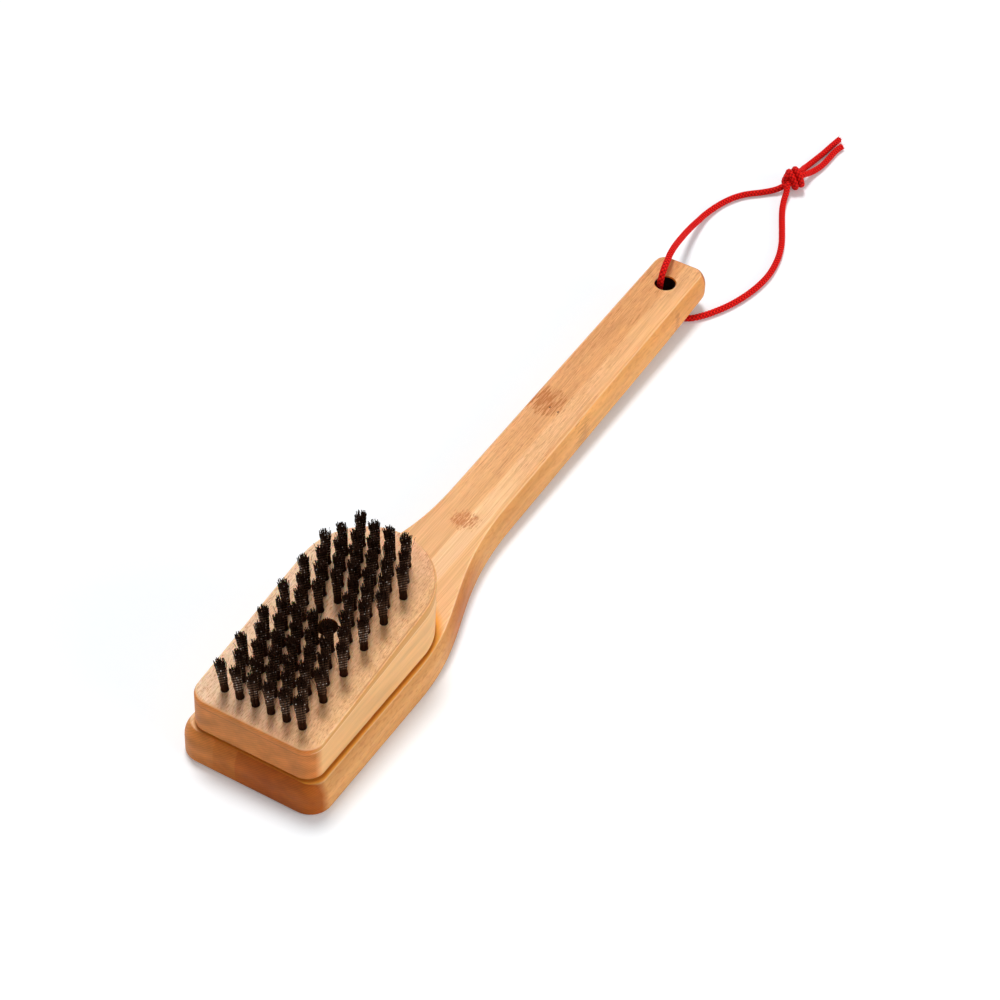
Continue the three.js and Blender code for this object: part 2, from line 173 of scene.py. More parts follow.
# Cord
CORD_RADIUS = 1.35
CORD_SIDES = 40
CORD_STEP = 0.25
ROUTE_SPAN_POINTS = 24
BRAID_STRANDS = 4
BRAID_CELL = 1.5
BRAID_DEPTH = 0.28
BRAID_TOP_SHARE = 0.75
BRAID_TOP_ROUNDNESS = 0.7

# Loose fibres at the cord's cut ends
FRAY_FIBRES = 60
FRAY_FIBRE_RADIUS = 0.09
FRAY_FIBRE_ANGLES = (0, 2.1, 4.2)
FRAY_STEPS = (0, 0.5, 1)
FRAY_REACH = 0.92
FRAY_SPREAD_RANGE = (0.95, 1.4)
FRAY_LENGTH_RANGE = (0.3, 1.5)
FRAY_OVERLAP = 0.4
FRAY_LOWEST = -1.25
FRAY_RELIEF = 0.8

# Routes of the cord's two strands, from the middle of the hole to the knot
OVER_ROUTE = [
    (290.1, 2.3, 11), (290, 2, 17.2), (291.4, 2.2, 19.4), (294.3, 2.8, 20.7), (297.9, 3.6, 21),
    (302.2, 4.8, 20.4), (307, 6, 19.2), (314.7, 8, 16.2), (323.7, 10.2, 12.3), (332.6, 12.2, 8.6),
    (341.1, 13.6, 5.6), (348.6, 14.3, 3.5), (355.4, 14.5, 2.2), (365.5, 13, 1.4), (372, 10.6, 1.4),
    (377.1, 7.5, 1.4), (382.7, 2, 1.4), (385.4, -0.5, 1.5), (387.6, -2.6, 2),
]
UNDER_ROUTE = [
    (290.1, 2.3, 11), (290.1, 2.3, 6.5), (290, 1.4, 3.8), (290, -0.6, 2), (290.1, -3.3, 1.4),
    (290.6, -6.4, 1.4), (293, -11, 1.4), (296.9, -14.3, 1.4), (304, -18.3, 1.4), (310.2, -20.9, 1.4),
    (318.5, -23.3, 1.4), (326.3, -24.6, 1.4), (333.3, -25, 1.4), (340, -24.5, 1.4), (348.2, -22.9, 1.4),
    (355.9, -20.3, 1.4), (363.2, -16.9, 1.4), (370.4, -13.3, 1.4), (377, -10.2, 1.4), (382.6, -8.2, 1.8),
    (386.2, -7.3, 2.6),
]
LONG_TAIL_ROUTE = [
    (405.6, -6, 2.9), (408.6, -6.2, 2.3), (412.2, -6.4, 1.8), (417.3, -6.9, 1.4), (422.2, -7.6, 1.4),
    (427.4, -8.1, 1.4), (434.4, -8.9, 1.4),
]
SHORT_TAIL_ROUTE = [
    (404.6, -9.4, 2.7), (408.2, -10, 1.9), (413.1, -10.8, 1.5), (419.5, -11.1, 1.4), (425.2, -11.2, 1.4),
    (428.4, -11.5, 1.4), (430.4, -12, 1.4),
]

# The doubled strand's way through the knot: its middle, and the direction from there to the over strand
KNOT_CENTRE = (394.4, -6.9, 5)
KNOT_YAW = radians(-13)
KNOT_SPACING = 1.35
WRAP_AXIS = (0.82, -0.47, 0.32)
KNOT_ROUTE = [
    ((-4.4, 0.7, -1.5), (-0.1, 0.7, -0.6)),
    ((-2.2, 0.5, -1), (0, 0.8, -0.3)),
    ((0.4, 0.4, -0.6), (0, 0.8, 0)),
    ((2.8, 0.8, -0.9), (0.5, 0.5, 0)),
    ((2.9, 1, -2.7), (0.8, 0, 0.3)),
    ((0.9, -1.2, -3.2), WRAP_AXIS),
    ((-0.2, -2.6, -2.3), WRAP_AXIS),
    ((-1.3, -3, 0), WRAP_AXIS),
    ((-1.5, -1.7, 2.3), WRAP_AXIS),
    ((-0.5, 0.6, 3.2), WRAP_AXIS),
    ((1, 2.6, 2.2), WRAP_AXIS),
    ((1.5, 3.4, 0.2), WRAP_AXIS),
    ((-0.4, 3.5, -1.3), (0.8, -0.2, 0.4)),
    ((-2.6, 2.7, -0.9), (0.5, 0.2, 0.6)),
    ((-2.9, 1.2, 0.2), (0.1, 0.4, 0.8)),
    ((-0.8, 0.4, 0.9), (0, 0.7, 0.6)),
    ((2, 0.3, 0.9), (0, 0.9, 0.3)),
    ((4.6, 0.4, 0.2), (0, 1, 0.1)),
    ((7, 0.7, -0.9), (0, 1, 0)),
]

# Camera, fitted to the photograph
CAMERA_TARGET = (163.461, -0.319, 0)
CAMERA_DISTANCE = 996.161
CAMERA_AZIMUTH = radians(208.397)
CAMERA_ELEVATION = radians(43.619)
CAMERA_ROLL = radians(3.271)
CAMERA_LENS = 97.685
CAMERA_SENSOR = 36

# Light and floor: the way to each sun, its strength and its width in degrees; the floor is in metres
SKY_LEVEL = 0.35
SUNS = [
    ("key", (0.27, 0.25, 1), 2, 17),
    ("fill", (0.1, -1, 0.18), 1.55, 50),
]
FLOOR_HALF_SIZE = 3
FLOOR_Z = -0.0001
FLOOR_COLOUR = (0.885, 0.92, 0.945, 1)
FLOOR_LIFT = 0.13

# Strips of the board and block: the side from which each begins, and its colour
BOARD_STRIPS = [
    (-28.2, (0.83, 0.44, 0.19)),
    (-9.8, (0.83, 0.42, 0.17)),
    (-8.6, (0.89, 0.5, 0.24)),
    (-2.6, (0.89, 0.5, 0.24)),
    (-1.6, (0.82, 0.41, 0.17)),
    (12, (0.8, 0.4, 0.17)),
    (28.2, (0.83, 0.47, 0.24)),
]
BLOCK_STRIPS = [
    (-28.2, (0.85, 0.49, 0.23)),
    (-22, (0.85, 0.49, 0.23)),
    (-10, (0.87, 0.485, 0.268)),
    (10, (0.87, 0.54, 0.325)),
    (28.2, (1, 0.72, 0.49)),
]
PADDLE_END_STRIPS = [
    (-28.2, (0.44, 0.108, 0.008)),
    (-8, (0.4, 0.085, 0.004)),
    (4.1, (0.46, 0.11, 0.008)),
    (4.5, (0.53, 0.15, 0.018)),
    (12.9, (0.57, 0.168, 0.022)),
    (13.3, (0.61, 0.195, 0.034)),
    (28.2, (0.66, 0.235, 0.055)),
]
BLOCK_END_STRIPS = [
    (-28.2, (0.63, 0.21, 0.048)),
    (-3.2, (0.64, 0.22, 0.053)),
    (-2.8, (0.65, 0.23, 0.056)),
    (19.8, (0.65, 0.23, 0.056)),
    (20.2, (0.68, 0.24, 0.062)),
    (28.2, (0.68, 0.24, 0.062)),
]

# Changes by the share of the board's length: tints of the top and sides, and amounts of fibre ends
BOARD_TINT = [
    (0.34, (1.03, 1.18, 1.36)),
    (0.5, (1.06, 1.13, 1.18)),
    (0.66, (1, 1, 1)),
    (0.82, (0.97, 0.93, 0.86)),
]
SIDE_TINT = [
    (0.4, (1, 1, 1)),
    (0.52, (0.97, 0.93, 0.88)),
    (0.66, (1.15, 1.16, 1.17)),
    (0.8, (1.13, 1.1, 1.03)),
    (0.95, (1.11, 0.99, 0.87)),
]
FIBRES_ALONG = [(0.44, 0.1), (0.58, 1)]
FLECKS_ALONG = [(0.35, 1), (0.5, 0.6)]

# Wood colours: the rim colour is a painted highlight, and the seam, ledge, hole and bore colours are
# painted shade
BOARD_SIDE = (0.71, 0.335, 0.105)
BLOCK_SIDE = (0.8, 0.435, 0.175)
FIBRE_COLOUR = (0.48, 0.16, 0.045)
RIM_HIGHLIGHT_COLOUR = (0.98, 0.68, 0.4)
SEAM_SHADE_COLOUR = (0.51, 0.145, 0.011)
LEDGE_SHADE_COLOUR = (0.9, 0.39, 0.042)
BAND_COLOUR = (0.62, 0.29, 0.075)
EDGE_COLOUR = (0.46, 0.18, 0.045)
PLY_COLOUR = (0.3, 0.1, 0.03)
DOT_COLOUR = (0.07, 0.02, 0.008)
HOLE_SHADE_COLOUR = (0.012, 0.004, 0.002)
BORE_SHADE_COLOUR = (0.05, 0.015, 0.008)

# Wood grain: cycles per millimetre along, across and up, and the tints from low noise to high
SWAY_SCALE = (0.03, 0, 0)
SWAY_WIDTH = 1.6
BROAD_SCALE = (0.012, 0.3, 0.3)
BROAD_TINT = [(0.3, (0.9, 0.87, 0.84)), (0.7, (1.06, 1.08, 1.1))]
LINE_SCALE = (0.022, 2.4, 2.4)
LINE_TINT = [(0.36, (0.88, 0.83, 0.78)), (0.64, (1.09, 1.12, 1.15))]
SIDE_SCALE = (0.03, 0.06, 0.4)
SIDE_MOTTLE = [(0.3, 0.86), (0.7, 1.12)]
PATCH_SCALE = (0.025, 0.12, 0.12)
STREAK_SCALE = (0.17, 2.2, 2.2)
DOTTED_SCALE = (0.4, 1.9, 1.9)

# Fibre ends: cycles per millimetre along and across, seed, depth, and the noise below which they show
SHORT_FIBRES = (0.28, 5.5, 13, 0.5, 0.46)
LONG_FIBRES = (0.1, 3.2, 19, 0.75, 0.39)
SIDE_FLECKS = (0.3, 1.1, 23, 0.34, 0.48)
BLOCK_FIBRES = (0.4, 4.0, 33, 0.6, 0.46)
FIBRE_FADE = 0.1

# More fibre ends show to the board's left, in patches
FIBRE_LEFT_GAIN = 0.03
FIBRE_PATCH_GAIN = 1.4
FIBRE_PATCH_START = -0.06
FIBRE_PATCHES = [(0.38, 0.1), (0.62, 1)]

# End grain: a slanting hatch, clouds, and how far a surface faces front or rear as it starts and is in full
HATCH_PITCH = 0.95
HATCH_SLANT = 0.8
HATCH_DEPTH = 0.07
CLOUD_SCALE = (0.2, 0.16, 0.3)
CLOUD_TINT = [(0.3, 0.78), (0.7, 1.18)]
BOARD_END_TURNS = [(0.12, 0.48), (0.14, 0.35)]
BLOCK_END_TURNS = [(0.14, 0.56), (0.3, 0.75)]

# Marks on the board: middle, half sizes, strength, whether dotted, and colour; and dark dots by the first
BOARD_MARKS = [
    (205.8, 6.5, 9, 11, 0.8, False, (0.46, 0.13, 0.022)),
    (135.6, -1.7, 6, 7, 0.85, True, (0.56, 0.18, 0.05)),
    (203.5, -12.5, 6, 2.5, 0.5, False, (0.4, 0.17, 0.045)),
    (279, -12, 2.2, 1.4, 0.5, False, (0.42, 0.13, 0.04)),
]
MARK_FILL = 1.5
MARK_THRESHOLD = 0.55
MARK_EDGE = 0.2
STREAKY_CONTRAST = 10.0
DOTTED_CONTRAST = 5.0
BOARD_DOTS = [(203.4, 2.4, 0.6, 0.4), (202.7, -1.5, 0.6, 0.4)]
DOT_STRENGTH = 1.3

# Amounts by a part of the surface's direction: upward, to the front or to the right; the rim amounts place
# painted highlights, and the top amount places painted shade round the block
BOARD_SIDE_UPWARD = [(0.6, 1), (0.7, 0)]
BOARD_RIM_HIGHLIGHT_UPWARD = [(0.6, 0), (0.72, 0.4), (0.85, 0.4), (0.96, 0)]
BOARD_TOP_UPWARD = [(0.6, 0), (0.9, 1)]
BLOCK_SIDE_UPWARD = [(0.45, 1), (0.7, 0)]
BLOCK_RIM_HIGHLIGHT_UPWARD = [(0.7, 0), (0.82, 0.4), (0.94, 0.4), (0.985, 0)]
BLOCK_EDGE_UPWARD = [(0.72, 0), (0.84, 0.65), (0.95, 0.65), (0.985, 0)]
BLOCK_FRONT_FORWARD = [(0.5, 0), (0.8, 1)]
BLOCK_EDGE_RIGHTWARD = [(0.1, 0), (0.25, 1)]

# Amounts by distance: painted warm shade on the board's strip round the block and darker painted shade
# beside it, painted shade at the block's foot, the front ply, the side band with a painted highlight line
# below it, and painted shade in the counterbore and hanging hole
LEDGE_SHADE_REACH = 3.2
LEDGE_SHADE_OUT = [(0.3, 0.9), (1, 0)]
LEDGE_SHADE_ACROSS = [(0.8, 1), (0.9, 0.15)]
SEAM_SHADE_OUT = [(0.1, 0.7), (0.8, 0)]
FOOT_SHADE_UP = [(0.4, 0.9), (1, 0)]
FRONT_PLY_DEPTH = 2.4
PLY_AWAY = [(0, 0.6), (0.35, 0)]
SIDE_BAND_GROWTH = 0.044
BAND_IN = [(0, 0), (0.12, 0.85)]
LIP_HIGHLIGHT_BELOW = 0.25
LIP_HIGHLIGHT_AWAY = [(0, 0.75), (0.25, 0)]
EDGE_ALONG = [(0.05, 0), (0.1, 1)]
BORE_SHADE_MARGIN = 0.15
BORE_SHADE_IN = [(0, 0), (0.02, 1)]
BORE_SHADE_DOWN = [(0.3, 0), (0.9, 0.9)]
HOLE_SHADE_MARGIN = 0.3
HOLE_SHADE_DEPTH = 0.4

# Wire, screw and cord looks: the wires' painted highlight and glint colours, the screw darkened as painted
# shade in its counterbore, and painted shade in the cord's crevices
BAND_PITCH = 1.15
BAND_SLANT = 0.8
BAND_LIGHT = [(0.35, 0.16), (0.8, 1)]
WIRE_PAINTED_LIGHT_COLOURS = [
    (0, (0.016, 0.0055, 0.0025)),
    (0.2, (0.055, 0.022, 0.01)),
    (0.75, (0.29, 0.17, 0.105)),
    (1, (0.95, 0.9, 0.85)),
]
COLLAR_COLOUR = (0.05, 0.017, 0.007)
COLLAR_FADE = 1.3
SCREW_SCALE = (0.9, 0.9, 0.9)
SCREW_SHADE_TONES = [(0.3, 0.02), (0.7, 0.05)]
CORD_CREVICE_SHADE_TONES = [(0.15, (0.14, 0, 0.001)), (0.6, (0.55, 0.003, 0.003)), (1, (0.97, 0.017, 0.011))]
FUZZ_SCALE = (3, 3, 3)
FUZZ_TINT = [(0.3, 0.8), (0.7, 1.15)]


def place(point):
    """A point in millimetres from the paddle's front, in the frame's metres."""
    return Vector((point[0] * MM + board_low.x, point[1] * MM, point[2] * MM))


def add_camera():
    across = cos(CAMERA_ELEVATION)
    back = Vector((
        across * cos(CAMERA_AZIMUTH),
        across * sin(CAMERA_AZIMUTH),
        sin(CAMERA_ELEVATION),
    ))
    right = UP.cross(back).normalized()
    up = back.cross(right)
    turn = Matrix((right, up, back)).transposed() @ Matrix.Rotation(CAMERA_ROLL, 3, "Z")
    data = bpy.data.cameras.new("camera")
    data.lens = CAMERA_LENS
    data.sensor_width = CAMERA_SENSOR
    camera = add_object("camera", data)
    position = place(CAMERA_TARGET) + back * CAMERA_DISTANCE * MM
    camera.matrix_world = Matrix.Translation(position) @ turn.to_4x4()
    bpy.context.scene.camera = camera


def set_inputs(node, values):
    """Gives inputs of a shader node, by name or number, a plain value or another node's output."""
    for key, value in values.items():
        if isinstance(value, bpy.types.NodeSocket):
            node.id_data.links.new(value, node.inputs[key])
        else:
            node.inputs[key].default_value = value


def add_node(tree, kind, inputs=None, **settings):
    made = tree.nodes.new("ShaderNode" + kind)
    for name, value in settings.items():
        setattr(made, name, value)
    set_inputs(made, inputs or {})
    return made


def new_material(name):
    material = bpy.data.materials.new(name)
    material.use_nodes = True
    tree = material.node_tree
    return material, tree, tree.nodes["Principled BSDF"]


def dress(obj, material):
    obj.data.materials.clear()
    obj.data.materials.append(material)


def add_object(name, data):
    obj = bpy.data.objects.new(name, data)
    bpy.context.collection.objects.link(obj)
    return obj


def object_from(name, mesh):
    """An object from a mesh being edited, which is freed."""
    data = bpy.data.meshes.new(name)
    mesh.to_mesh(data)
    mesh.free()
    return add_object(name, data)


def object_with_values(name, points, faces, attribute, values, smooth=True):
    """An object from lists of points and faces, with a number at each point for its material."""
    data = bpy.data.meshes.new(name)
    data.from_pydata(points, [], faces)
    if smooth:
        data.shade_smooth()
    data.attributes.new(attribute, "FLOAT", "POINT").data.foreach_set("value", values)
    return add_object(name, data)


def smooth_by_angle(obj, degrees=30):
    """Smooth shading that keeps the edges sharper than an angle."""
    limit = radians(degrees)
    mesh = bmesh.new()
    mesh.from_mesh(obj.data)
    for face in mesh.faces:
        face.smooth = True
    for edge in mesh.edges:
        edge.smooth = len(edge.link_faces) == 2 and edge.calc_face_angle(0) < limit
    mesh.to_mesh(obj.data)
    mesh.free()


def arc(start, end, steps):
    return [start + (end - start) * i / steps for i in range(steps + 1)]


def front_corner(front_x, half_width, radius):
    """(x, half width) round a front corner, from the front edge to the side."""
    return [
        (front_x + radius - radius * cos(angle), half_width - radius + radius * sin(angle))
        for angle in arc(0, pi / 2, CORNER_STEPS)
    ]


def board_stations():
    """(x, half width) along the board, from the front edge to the grip's end."""
    stations = front_corner(0, PADDLE_HALF_WIDTH, PADDLE_CORNER_RADIUS)
    for x in range(PADDLE_FIRST_STATION_X, SHOULDER_START_X, STATION_STEP):
        stations.append((x, PADDLE_HALF_WIDTH))
    pulls = (
        SHOULDER_START_X,
        SHOULDER_START_X + SHOULDER_OUTER_PULL,
        SHOULDER_END_X - SHOULDER_INNER_PULL,
        SHOULDER_END_X,
    )
    sides = (PADDLE_HALF_WIDTH, PADDLE_HALF_WIDTH, GRIP_HALF_WIDTH, GRIP_HALF_WIDTH)
    for t in arc(0, 1, SHOULDER_STEPS):
        weights = ((1 - t) ** 3, 3 * t * (1 - t) ** 2, 3 * t * t * (1 - t), t ** 3)
        stations.append((
            sum(w * x for w, x in zip(weights, pulls)),
            sum(w * s for w, s in zip(weights, sides)),
        ))
    taper_end = LENGTH - GRIP_CORNER_RADIUS
    for x in range(SHOULDER_END_X + GRIP_STATION_STEP, int(taper_end), GRIP_STATION_STEP):
        share = (x - SHOULDER_END_X) / (taper_end - SHOULDER_END_X)
        stations.append((x, GRIP_HALF_WIDTH + share * (GRIP_END_HALF_WIDTH - GRIP_HALF_WIDTH)))
    end_corner = front_corner(0, GRIP_END_HALF_WIDTH, GRIP_CORNER_RADIUS)
    return stations + [(LENGTH - x, side) for x, side in reversed(end_corner)]


def block_stations():
    """(x, half width) along the block, from its front edge to its half-round rear."""
    stations = front_corner(BLOCK_FRONT_X, BLOCK_HALF_WIDTH, BLOCK_CORNER_RADIUS)
    arc_x = BLOCK_REAR_X - BLOCK_HALF_WIDTH
    for x in range(BLOCK_FIRST_STATION_X, int(arc_x), STATION_STEP):
        stations.append((x, BLOCK_HALF_WIDTH))
    for angle in arc(0, BLOCK_REAR_ARC, REAR_STEPS):
        stations.append((arc_x + BLOCK_HALF_WIDTH * sin(angle), BLOCK_HALF_WIDTH * cos(angle)))
    return stations


def outline_normals(points):
    """Outward unit normals of a closed outline that runs clockwise seen from above, longer at corners."""
    normals = []
    for i, point in enumerate(points):
        before, after = points[i - 1], points[(i + 1) % len(points)]
        first = Vector((point[0] - before[0], point[1] - before[1])).normalized()
        second = Vector((after[0] - point[0], after[1] - point[1])).normalized()
        along = (first + second).normalized()
        widen = min(LONGEST_NORMAL, 1 / along.dot(first))
        normals.append(Vector((-along.y, along.x)) * widen)
    return normals


def rounded_board(name, stations, profile_at, lift):
    """A solid between rings.

    profile_at(x) lists (inset, z) up the edge, and lift(x, z) gives a point's height.
    """
    outline = [(x, side) for x, side in stations] + [(x, -side) for x, side in reversed(stations)]
    normals = outline_normals(outline)
    profiles = [profile_at(x) for x, _ in outline]
    mesh = bmesh.new()
    rings = []
    for level in range(len(profiles[0])):
        ring = []
        for (x, y), normal, profile in zip(outline, normals, profiles):
            inset, z = profile[level]
            px, py = x - normal.x * inset, y - normal.y * inset
            ring.append(mesh.verts.new(place((px, py, lift(px, z)))))
        rings.append(ring)
    count = len(outline)
    for lower, upper in zip(rings, rings[1:]):
        for i in range(count):
            j = (i + 1) % count
            mesh.faces.new((lower[i], upper[i], upper[j], lower[j]))
    half = count // 2
    for ring in (rings[0], rings[-1]):
        for i in range(half - 1):
            mesh.faces.new((ring[i], ring[i + 1], ring[count - 2 - i], ring[count - 1 - i]))
    bmesh.ops.recalc_face_normals(mesh, faces=mesh.faces)
    return object_from(name, mesh)


def edge_profile(bottom, top, back_radius, top_radius, crown_radius=0, crown_z=0):
    """(inset, z) from the back face, round its edge, up the wall, in along a crown and round the top."""
    profile = [(back_radius + FLAT_RIM, bottom)]
    for angle in arc(0, pi / 2, EDGE_STEPS):
        inset = back_radius * (1 - sin(angle))
        profile.append((inset, bottom + back_radius * (1 - cos(angle))))
    inset, lean = top_radius, 0
    if crown_radius:
        rise = top - top_radius - crown_z
        run = sqrt((crown_radius - top_radius) ** 2 - rise ** 2)
        inset, lean = crown_radius - run, atan2(rise, run)
        for angle in arc(0, lean, EDGE_STEPS)[:-1]:
            height = crown_z + crown_radius * sin(angle)
            profile.append((crown_radius * (1 - cos(angle)), height))
    for angle in arc(lean, pi / 2, EDGE_STEPS):
        profile.append((inset - top_radius * cos(angle), top - top_radius * (1 - sin(angle))))
    profile.append((inset + FLAT_RIM, top))
    return profile


def lathe(name, profile, axis_point, axis, sides=48):
    """A closed turned solid; profile lists (radius, height) from the axis to the axis."""
    mesh = bmesh.new()
    turn = axis.to_track_quat("Z", "Y").to_matrix()
    rings = []
    for radius, height in profile:
        ring = []
        for i in range(sides if radius > 0 else 1):
            angle = 2 * pi * i / sides
            local = Vector((radius * cos(angle), radius * sin(angle), height)) * MM
            ring.append(mesh.verts.new(place(axis_point) + turn @ local))
        rings.append(ring)
    for lower, upper in zip(rings, rings[1:]):
        for i in range(sides):
            j = (i + 1) % sides
            corners = [(lower, i), (lower, j), (upper, j), (upper, i)]
            verts = [ring[k % len(ring)] for ring, k in corners]
            mesh.faces.new(list(dict.fromkeys(verts)))
    bmesh.ops.recalc_face_normals(mesh, faces=mesh.faces)
    return object_from(name, mesh)


def cylinder(radius, low, high):
    """The profile of a plain cylinder, for lathe."""
    return [(0, low), (radius, low), (radius, high), (0, high)]


def cut(obj, cutters):
    """Takes the cutters' space out of a piece, and removes them."""
    for cutter in cutters:
        modifier = obj.modifiers.new("cut", "BOOLEAN")
        modifier.operation = "DIFFERENCE"
        modifier.solver = "EXACT"
        modifier.object = cutter
    graph = bpy.context.evaluated_depsgraph_get()
    made = bpy.data.meshes.new_from_object(obj.evaluated_get(graph))
    obj.modifiers.clear()
    obj.data = made
    for cutter in cutters:
        bpy.data.objects.remove(cutter)


def join(name, objects):
    """One object from several, with their meshes side by side."""
    mesh = bmesh.new()
    for obj in objects:
        mesh.from_mesh(obj.data)
        bpy.data.objects.remove(obj)
    return object_from(name, mesh)


def rake_lift(x, z):
    return z + RAKE * max(0, x - RAKE_START_X)


def board_profile(x):
    """The board's edge at a station: nearly square at the paddle's back, rounder along the grip."""
    back = np.interp(
        x,
        [SHOULDER_START_X, SHOULDER_END_X, LENGTH - GRIP_END_ROUNDING_LENGTH, LENGTH],
        [PADDLE_BACK_EDGE_RADIUS, GRIP_BACK_EDGE_RADIUS, GRIP_BACK_EDGE_RADIUS, GRIP_END_BACK_EDGE_RADIUS],
    )
    return edge_profile(0, BOARD_THICKNESS, back, TOP_EDGE_RADIUS, SIDE_CROWN_RADIUS, SIDE_CROWN_START_Z)


def board():
    obj = rounded_board("board", board_stations(), board_profile, rake_lift)
    mouth = rake_lift(HANGING_HOLE_X, BOARD_THICKNESS)
    floor = rake_lift(HANGING_HOLE_X, 0)
    flare = HANGING_HOLE_RADIUS + HOLE_RIM + CUT_MARGIN
    drill = [
        (0, floor - CUT_MARGIN),
        (flare, floor - CUT_MARGIN),
        (HANGING_HOLE_RADIUS, floor + HOLE_RIM),
        (HANGING_HOLE_RADIUS, mouth - HOLE_RIM),
        (flare, mouth + CUT_MARGIN),
        (0, mouth + CUT_MARGIN),
    ]
    cut(obj, [lathe("drill", drill, (HANGING_HOLE_X, 0, 0), UP)])
    smooth_by_angle(obj)
    return obj


def face_point(u, v, w):
    """A point in the frame of the block's sloping face, as millimetres from the paddle's front."""
    return (u * FACE_COS - w * FACE_SIN, v, FACE_Z + u * FACE_SIN + w * FACE_COS)


def tuft_roots():
    """(u, v) of each tuft: wide and narrow rows in turn, a short last row, none where the screw goes in."""
    roots = []
    screw_u = SCREW_X / FACE_COS
    for row in range(ROW_COUNT):
        count = NARROW_ROW_TUFTS if row % 2 else WIDE_ROW_TUFTS
        if row == ROW_COUNT - 1:
            count = REAR_ROW_TUFTS
        u = FIRST_ROW_U + row * ROW_PITCH
        for i in range(count):
            v = (i - (count - 1) / 2) * TUFT_PITCH
            if hypot(u - screw_u, v) > SCREW_CLEARANCE_RADIUS:
                roots.append((u, v))
    return roots


def block():
    middle = (BLOCK_BOTTOM_Z + FACE_Z) / 2
    profile = edge_profile(BLOCK_BOTTOM_Z, FACE_Z, BLOCK_BACK_EDGE_RADIUS, BLOCK_TOP_EDGE_RADIUS)
    obj = rounded_board(
        "block",
        block_stations(),
        lambda x: profile,
        lambda x, z: z + (FACE_SLOPE * x if z > middle else 0),
    )
    normal = Vector((-FACE_SIN, 0, FACE_COS))
    hole = cylinder(TUFT_HOLE_RADIUS, -TUFT_HOLE_DEPTH, CUT_MARGIN)
    holes = [lathe("hole", hole, face_point(u, v, 0), normal, TUFT_HOLE_SIDES) for u, v in tuft_roots()]
    bore = cylinder(COUNTERBORE_RADIUS, COUNTERBORE_FLOOR_Z, 2 * FACE_Z)
    cut(obj, [join("holes", holes), lathe("bore", bore, (SCREW_X, 0, 0), UP)])
    smooth_by_angle(obj)
    return obj


def tube_faces(first, rows, sides):
    """Quads and the far end of a tube whose vertices run row by row from an index."""
    faces = []
    for row in range(rows - 1):
        low, high = first + row * sides, first + (row + 1) * sides
        for i in range(sides):
            j = (i + 1) % sides
            faces.append((low + i, low + j, high + j, high + i))
    faces.append(tuple(range(high, high + sides)))
    return faces


def tuft_wires():
    """One tuft's wires about its root: arrays of their points (u, v, w), the painted light and shade at the
    points, and radii.
    """
    steps = np.linspace(0, 1, WIRE_STEPS + 1)
    lean = noise.normal(0, TUFT_LEAN, 2)
    swirl = noise.uniform(0, 2 * pi)
    crimp_phase = noise.uniform(0, 2 * pi)
    lustre = noise.uniform(*TUFT_TONE_RANGE)
    wires, painted_light_per_wire, radii = [], [], []
    for i in range(WIRES_PER_TUFT):
        reach = sqrt((i + 0.5) / WIRES_PER_TUFT)
        angle = swirl + i * GOLDEN_ANGLE + noise.normal(0, TURN_SCATTER)
        outward = np.array([cos(angle), sin(angle)])
        root = outward * TUFT_ROOT_RADIUS * reach
        tip = outward * TUFT_TIP_RADIUS * reach + lean + noise.normal(0, TIP_SCATTER, 2)
        length = TUFT_LENGTH - abs(noise.normal(0, LENGTH_SCATTER))
        radius = WIRE_RADIUS
        if noise.random() < STRAY_SHARE:
            tip += noise.normal(0, STRAY_SPREAD, 2)
            length -= noise.uniform(0, STRAY_SPREAD)
            radius = STRAY_RADIUS
        flat = root + np.outer(steps ** SPLAY_POWER, tip - root)
        height = steps * length
        phase = crimp_phase + noise.normal(0, CRIMP_PHASE_SCATTER)
        side = swirl + noise.normal(0, CRIMP_SIDE_SCATTER)
        wave = CRIMP_WIDTH * np.sin(2 * pi * height / CRIMP_LENGTH + phase)
        wave = wave * np.clip(height / CRIMP_START, 0, 1)
        flat = flat + np.outer(wave, [cos(side), sin(side)])
        # Painted light and shade up the wire: dark at the root, lit from about three tenths of the way up
        # to about four fifths, dark near the top; some wires get a painted glint in their upper part
        tone = np.interp(steps, PAINTED_LIGHT_HEIGHTS, PAINTED_LIGHT_LEVELS)
        tone = tone * lustre * noise.uniform(*WIRE_TONE_RANGE)
        if noise.random() < GLINT_SHARE:
            tone[noise.integers(int(WIRE_STEPS * GLINT_START), WIRE_STEPS)] = GLINT_TONE
        wires.append(np.column_stack([flat, height]))
        painted_light_per_wire.append(tone)
        radii.append(radius)
    return np.array(wires), np.array(painted_light_per_wire), np.array(radii)


def tufts(name, roots):
    """A piece of wire tufts standing on the face."""
    angles = 2 * pi * np.arange(WIRE_SIDES) / WIRE_SIDES
    ring = np.array([(cos(angle), sin(angle), 0) for angle in angles])
    points, faces, painted_light_per_point = [], [], []
    for u, v in roots:
        wires, painted_light_per_wire, radii = tuft_wires()
        wires = wires + np.array([u, v, 0])
        wires[:, 0, 2] -= ROOT_DEPTH
        # Each point's painted light and shade, for the material
        painted_light_per_point.extend(np.repeat(painted_light_per_wire.reshape(-1), WIRE_SIDES))
        tubes = wires[:, :, None, :] + radii[:, None, None, None] * ring[None, None, :, :]
        for tube in tubes:
            faces.extend(tube_faces(len(points), WIRE_STEPS + 1, WIRE_SIDES))
            points.extend(tube.reshape(-1, 3))
    points = [place(face_point(*point)) for point in points]
    return object_with_values(name, points, faces, "tone", painted_light_per_point)


def tuft_pieces():
    """The four groups of tufts: before, left of, right of and behind the screw."""
    groups = {"bristles_front": [], "bristles_left": [], "bristles_right": [], "bristles_rear": []}
    for u, v in tuft_roots():
        if u < SCREW_BAY_FRONT_U:
            groups["bristles_front"].append((u, v))
        elif u > SCREW_BAY_REAR_U:
            groups["bristles_rear"].append((u, v))
        else:
            groups["bristles_left" if v > 0 else "bristles_right"].append((u, v))
    return {node: tufts("wire_" + node, roots) for node, roots in groups.items()}


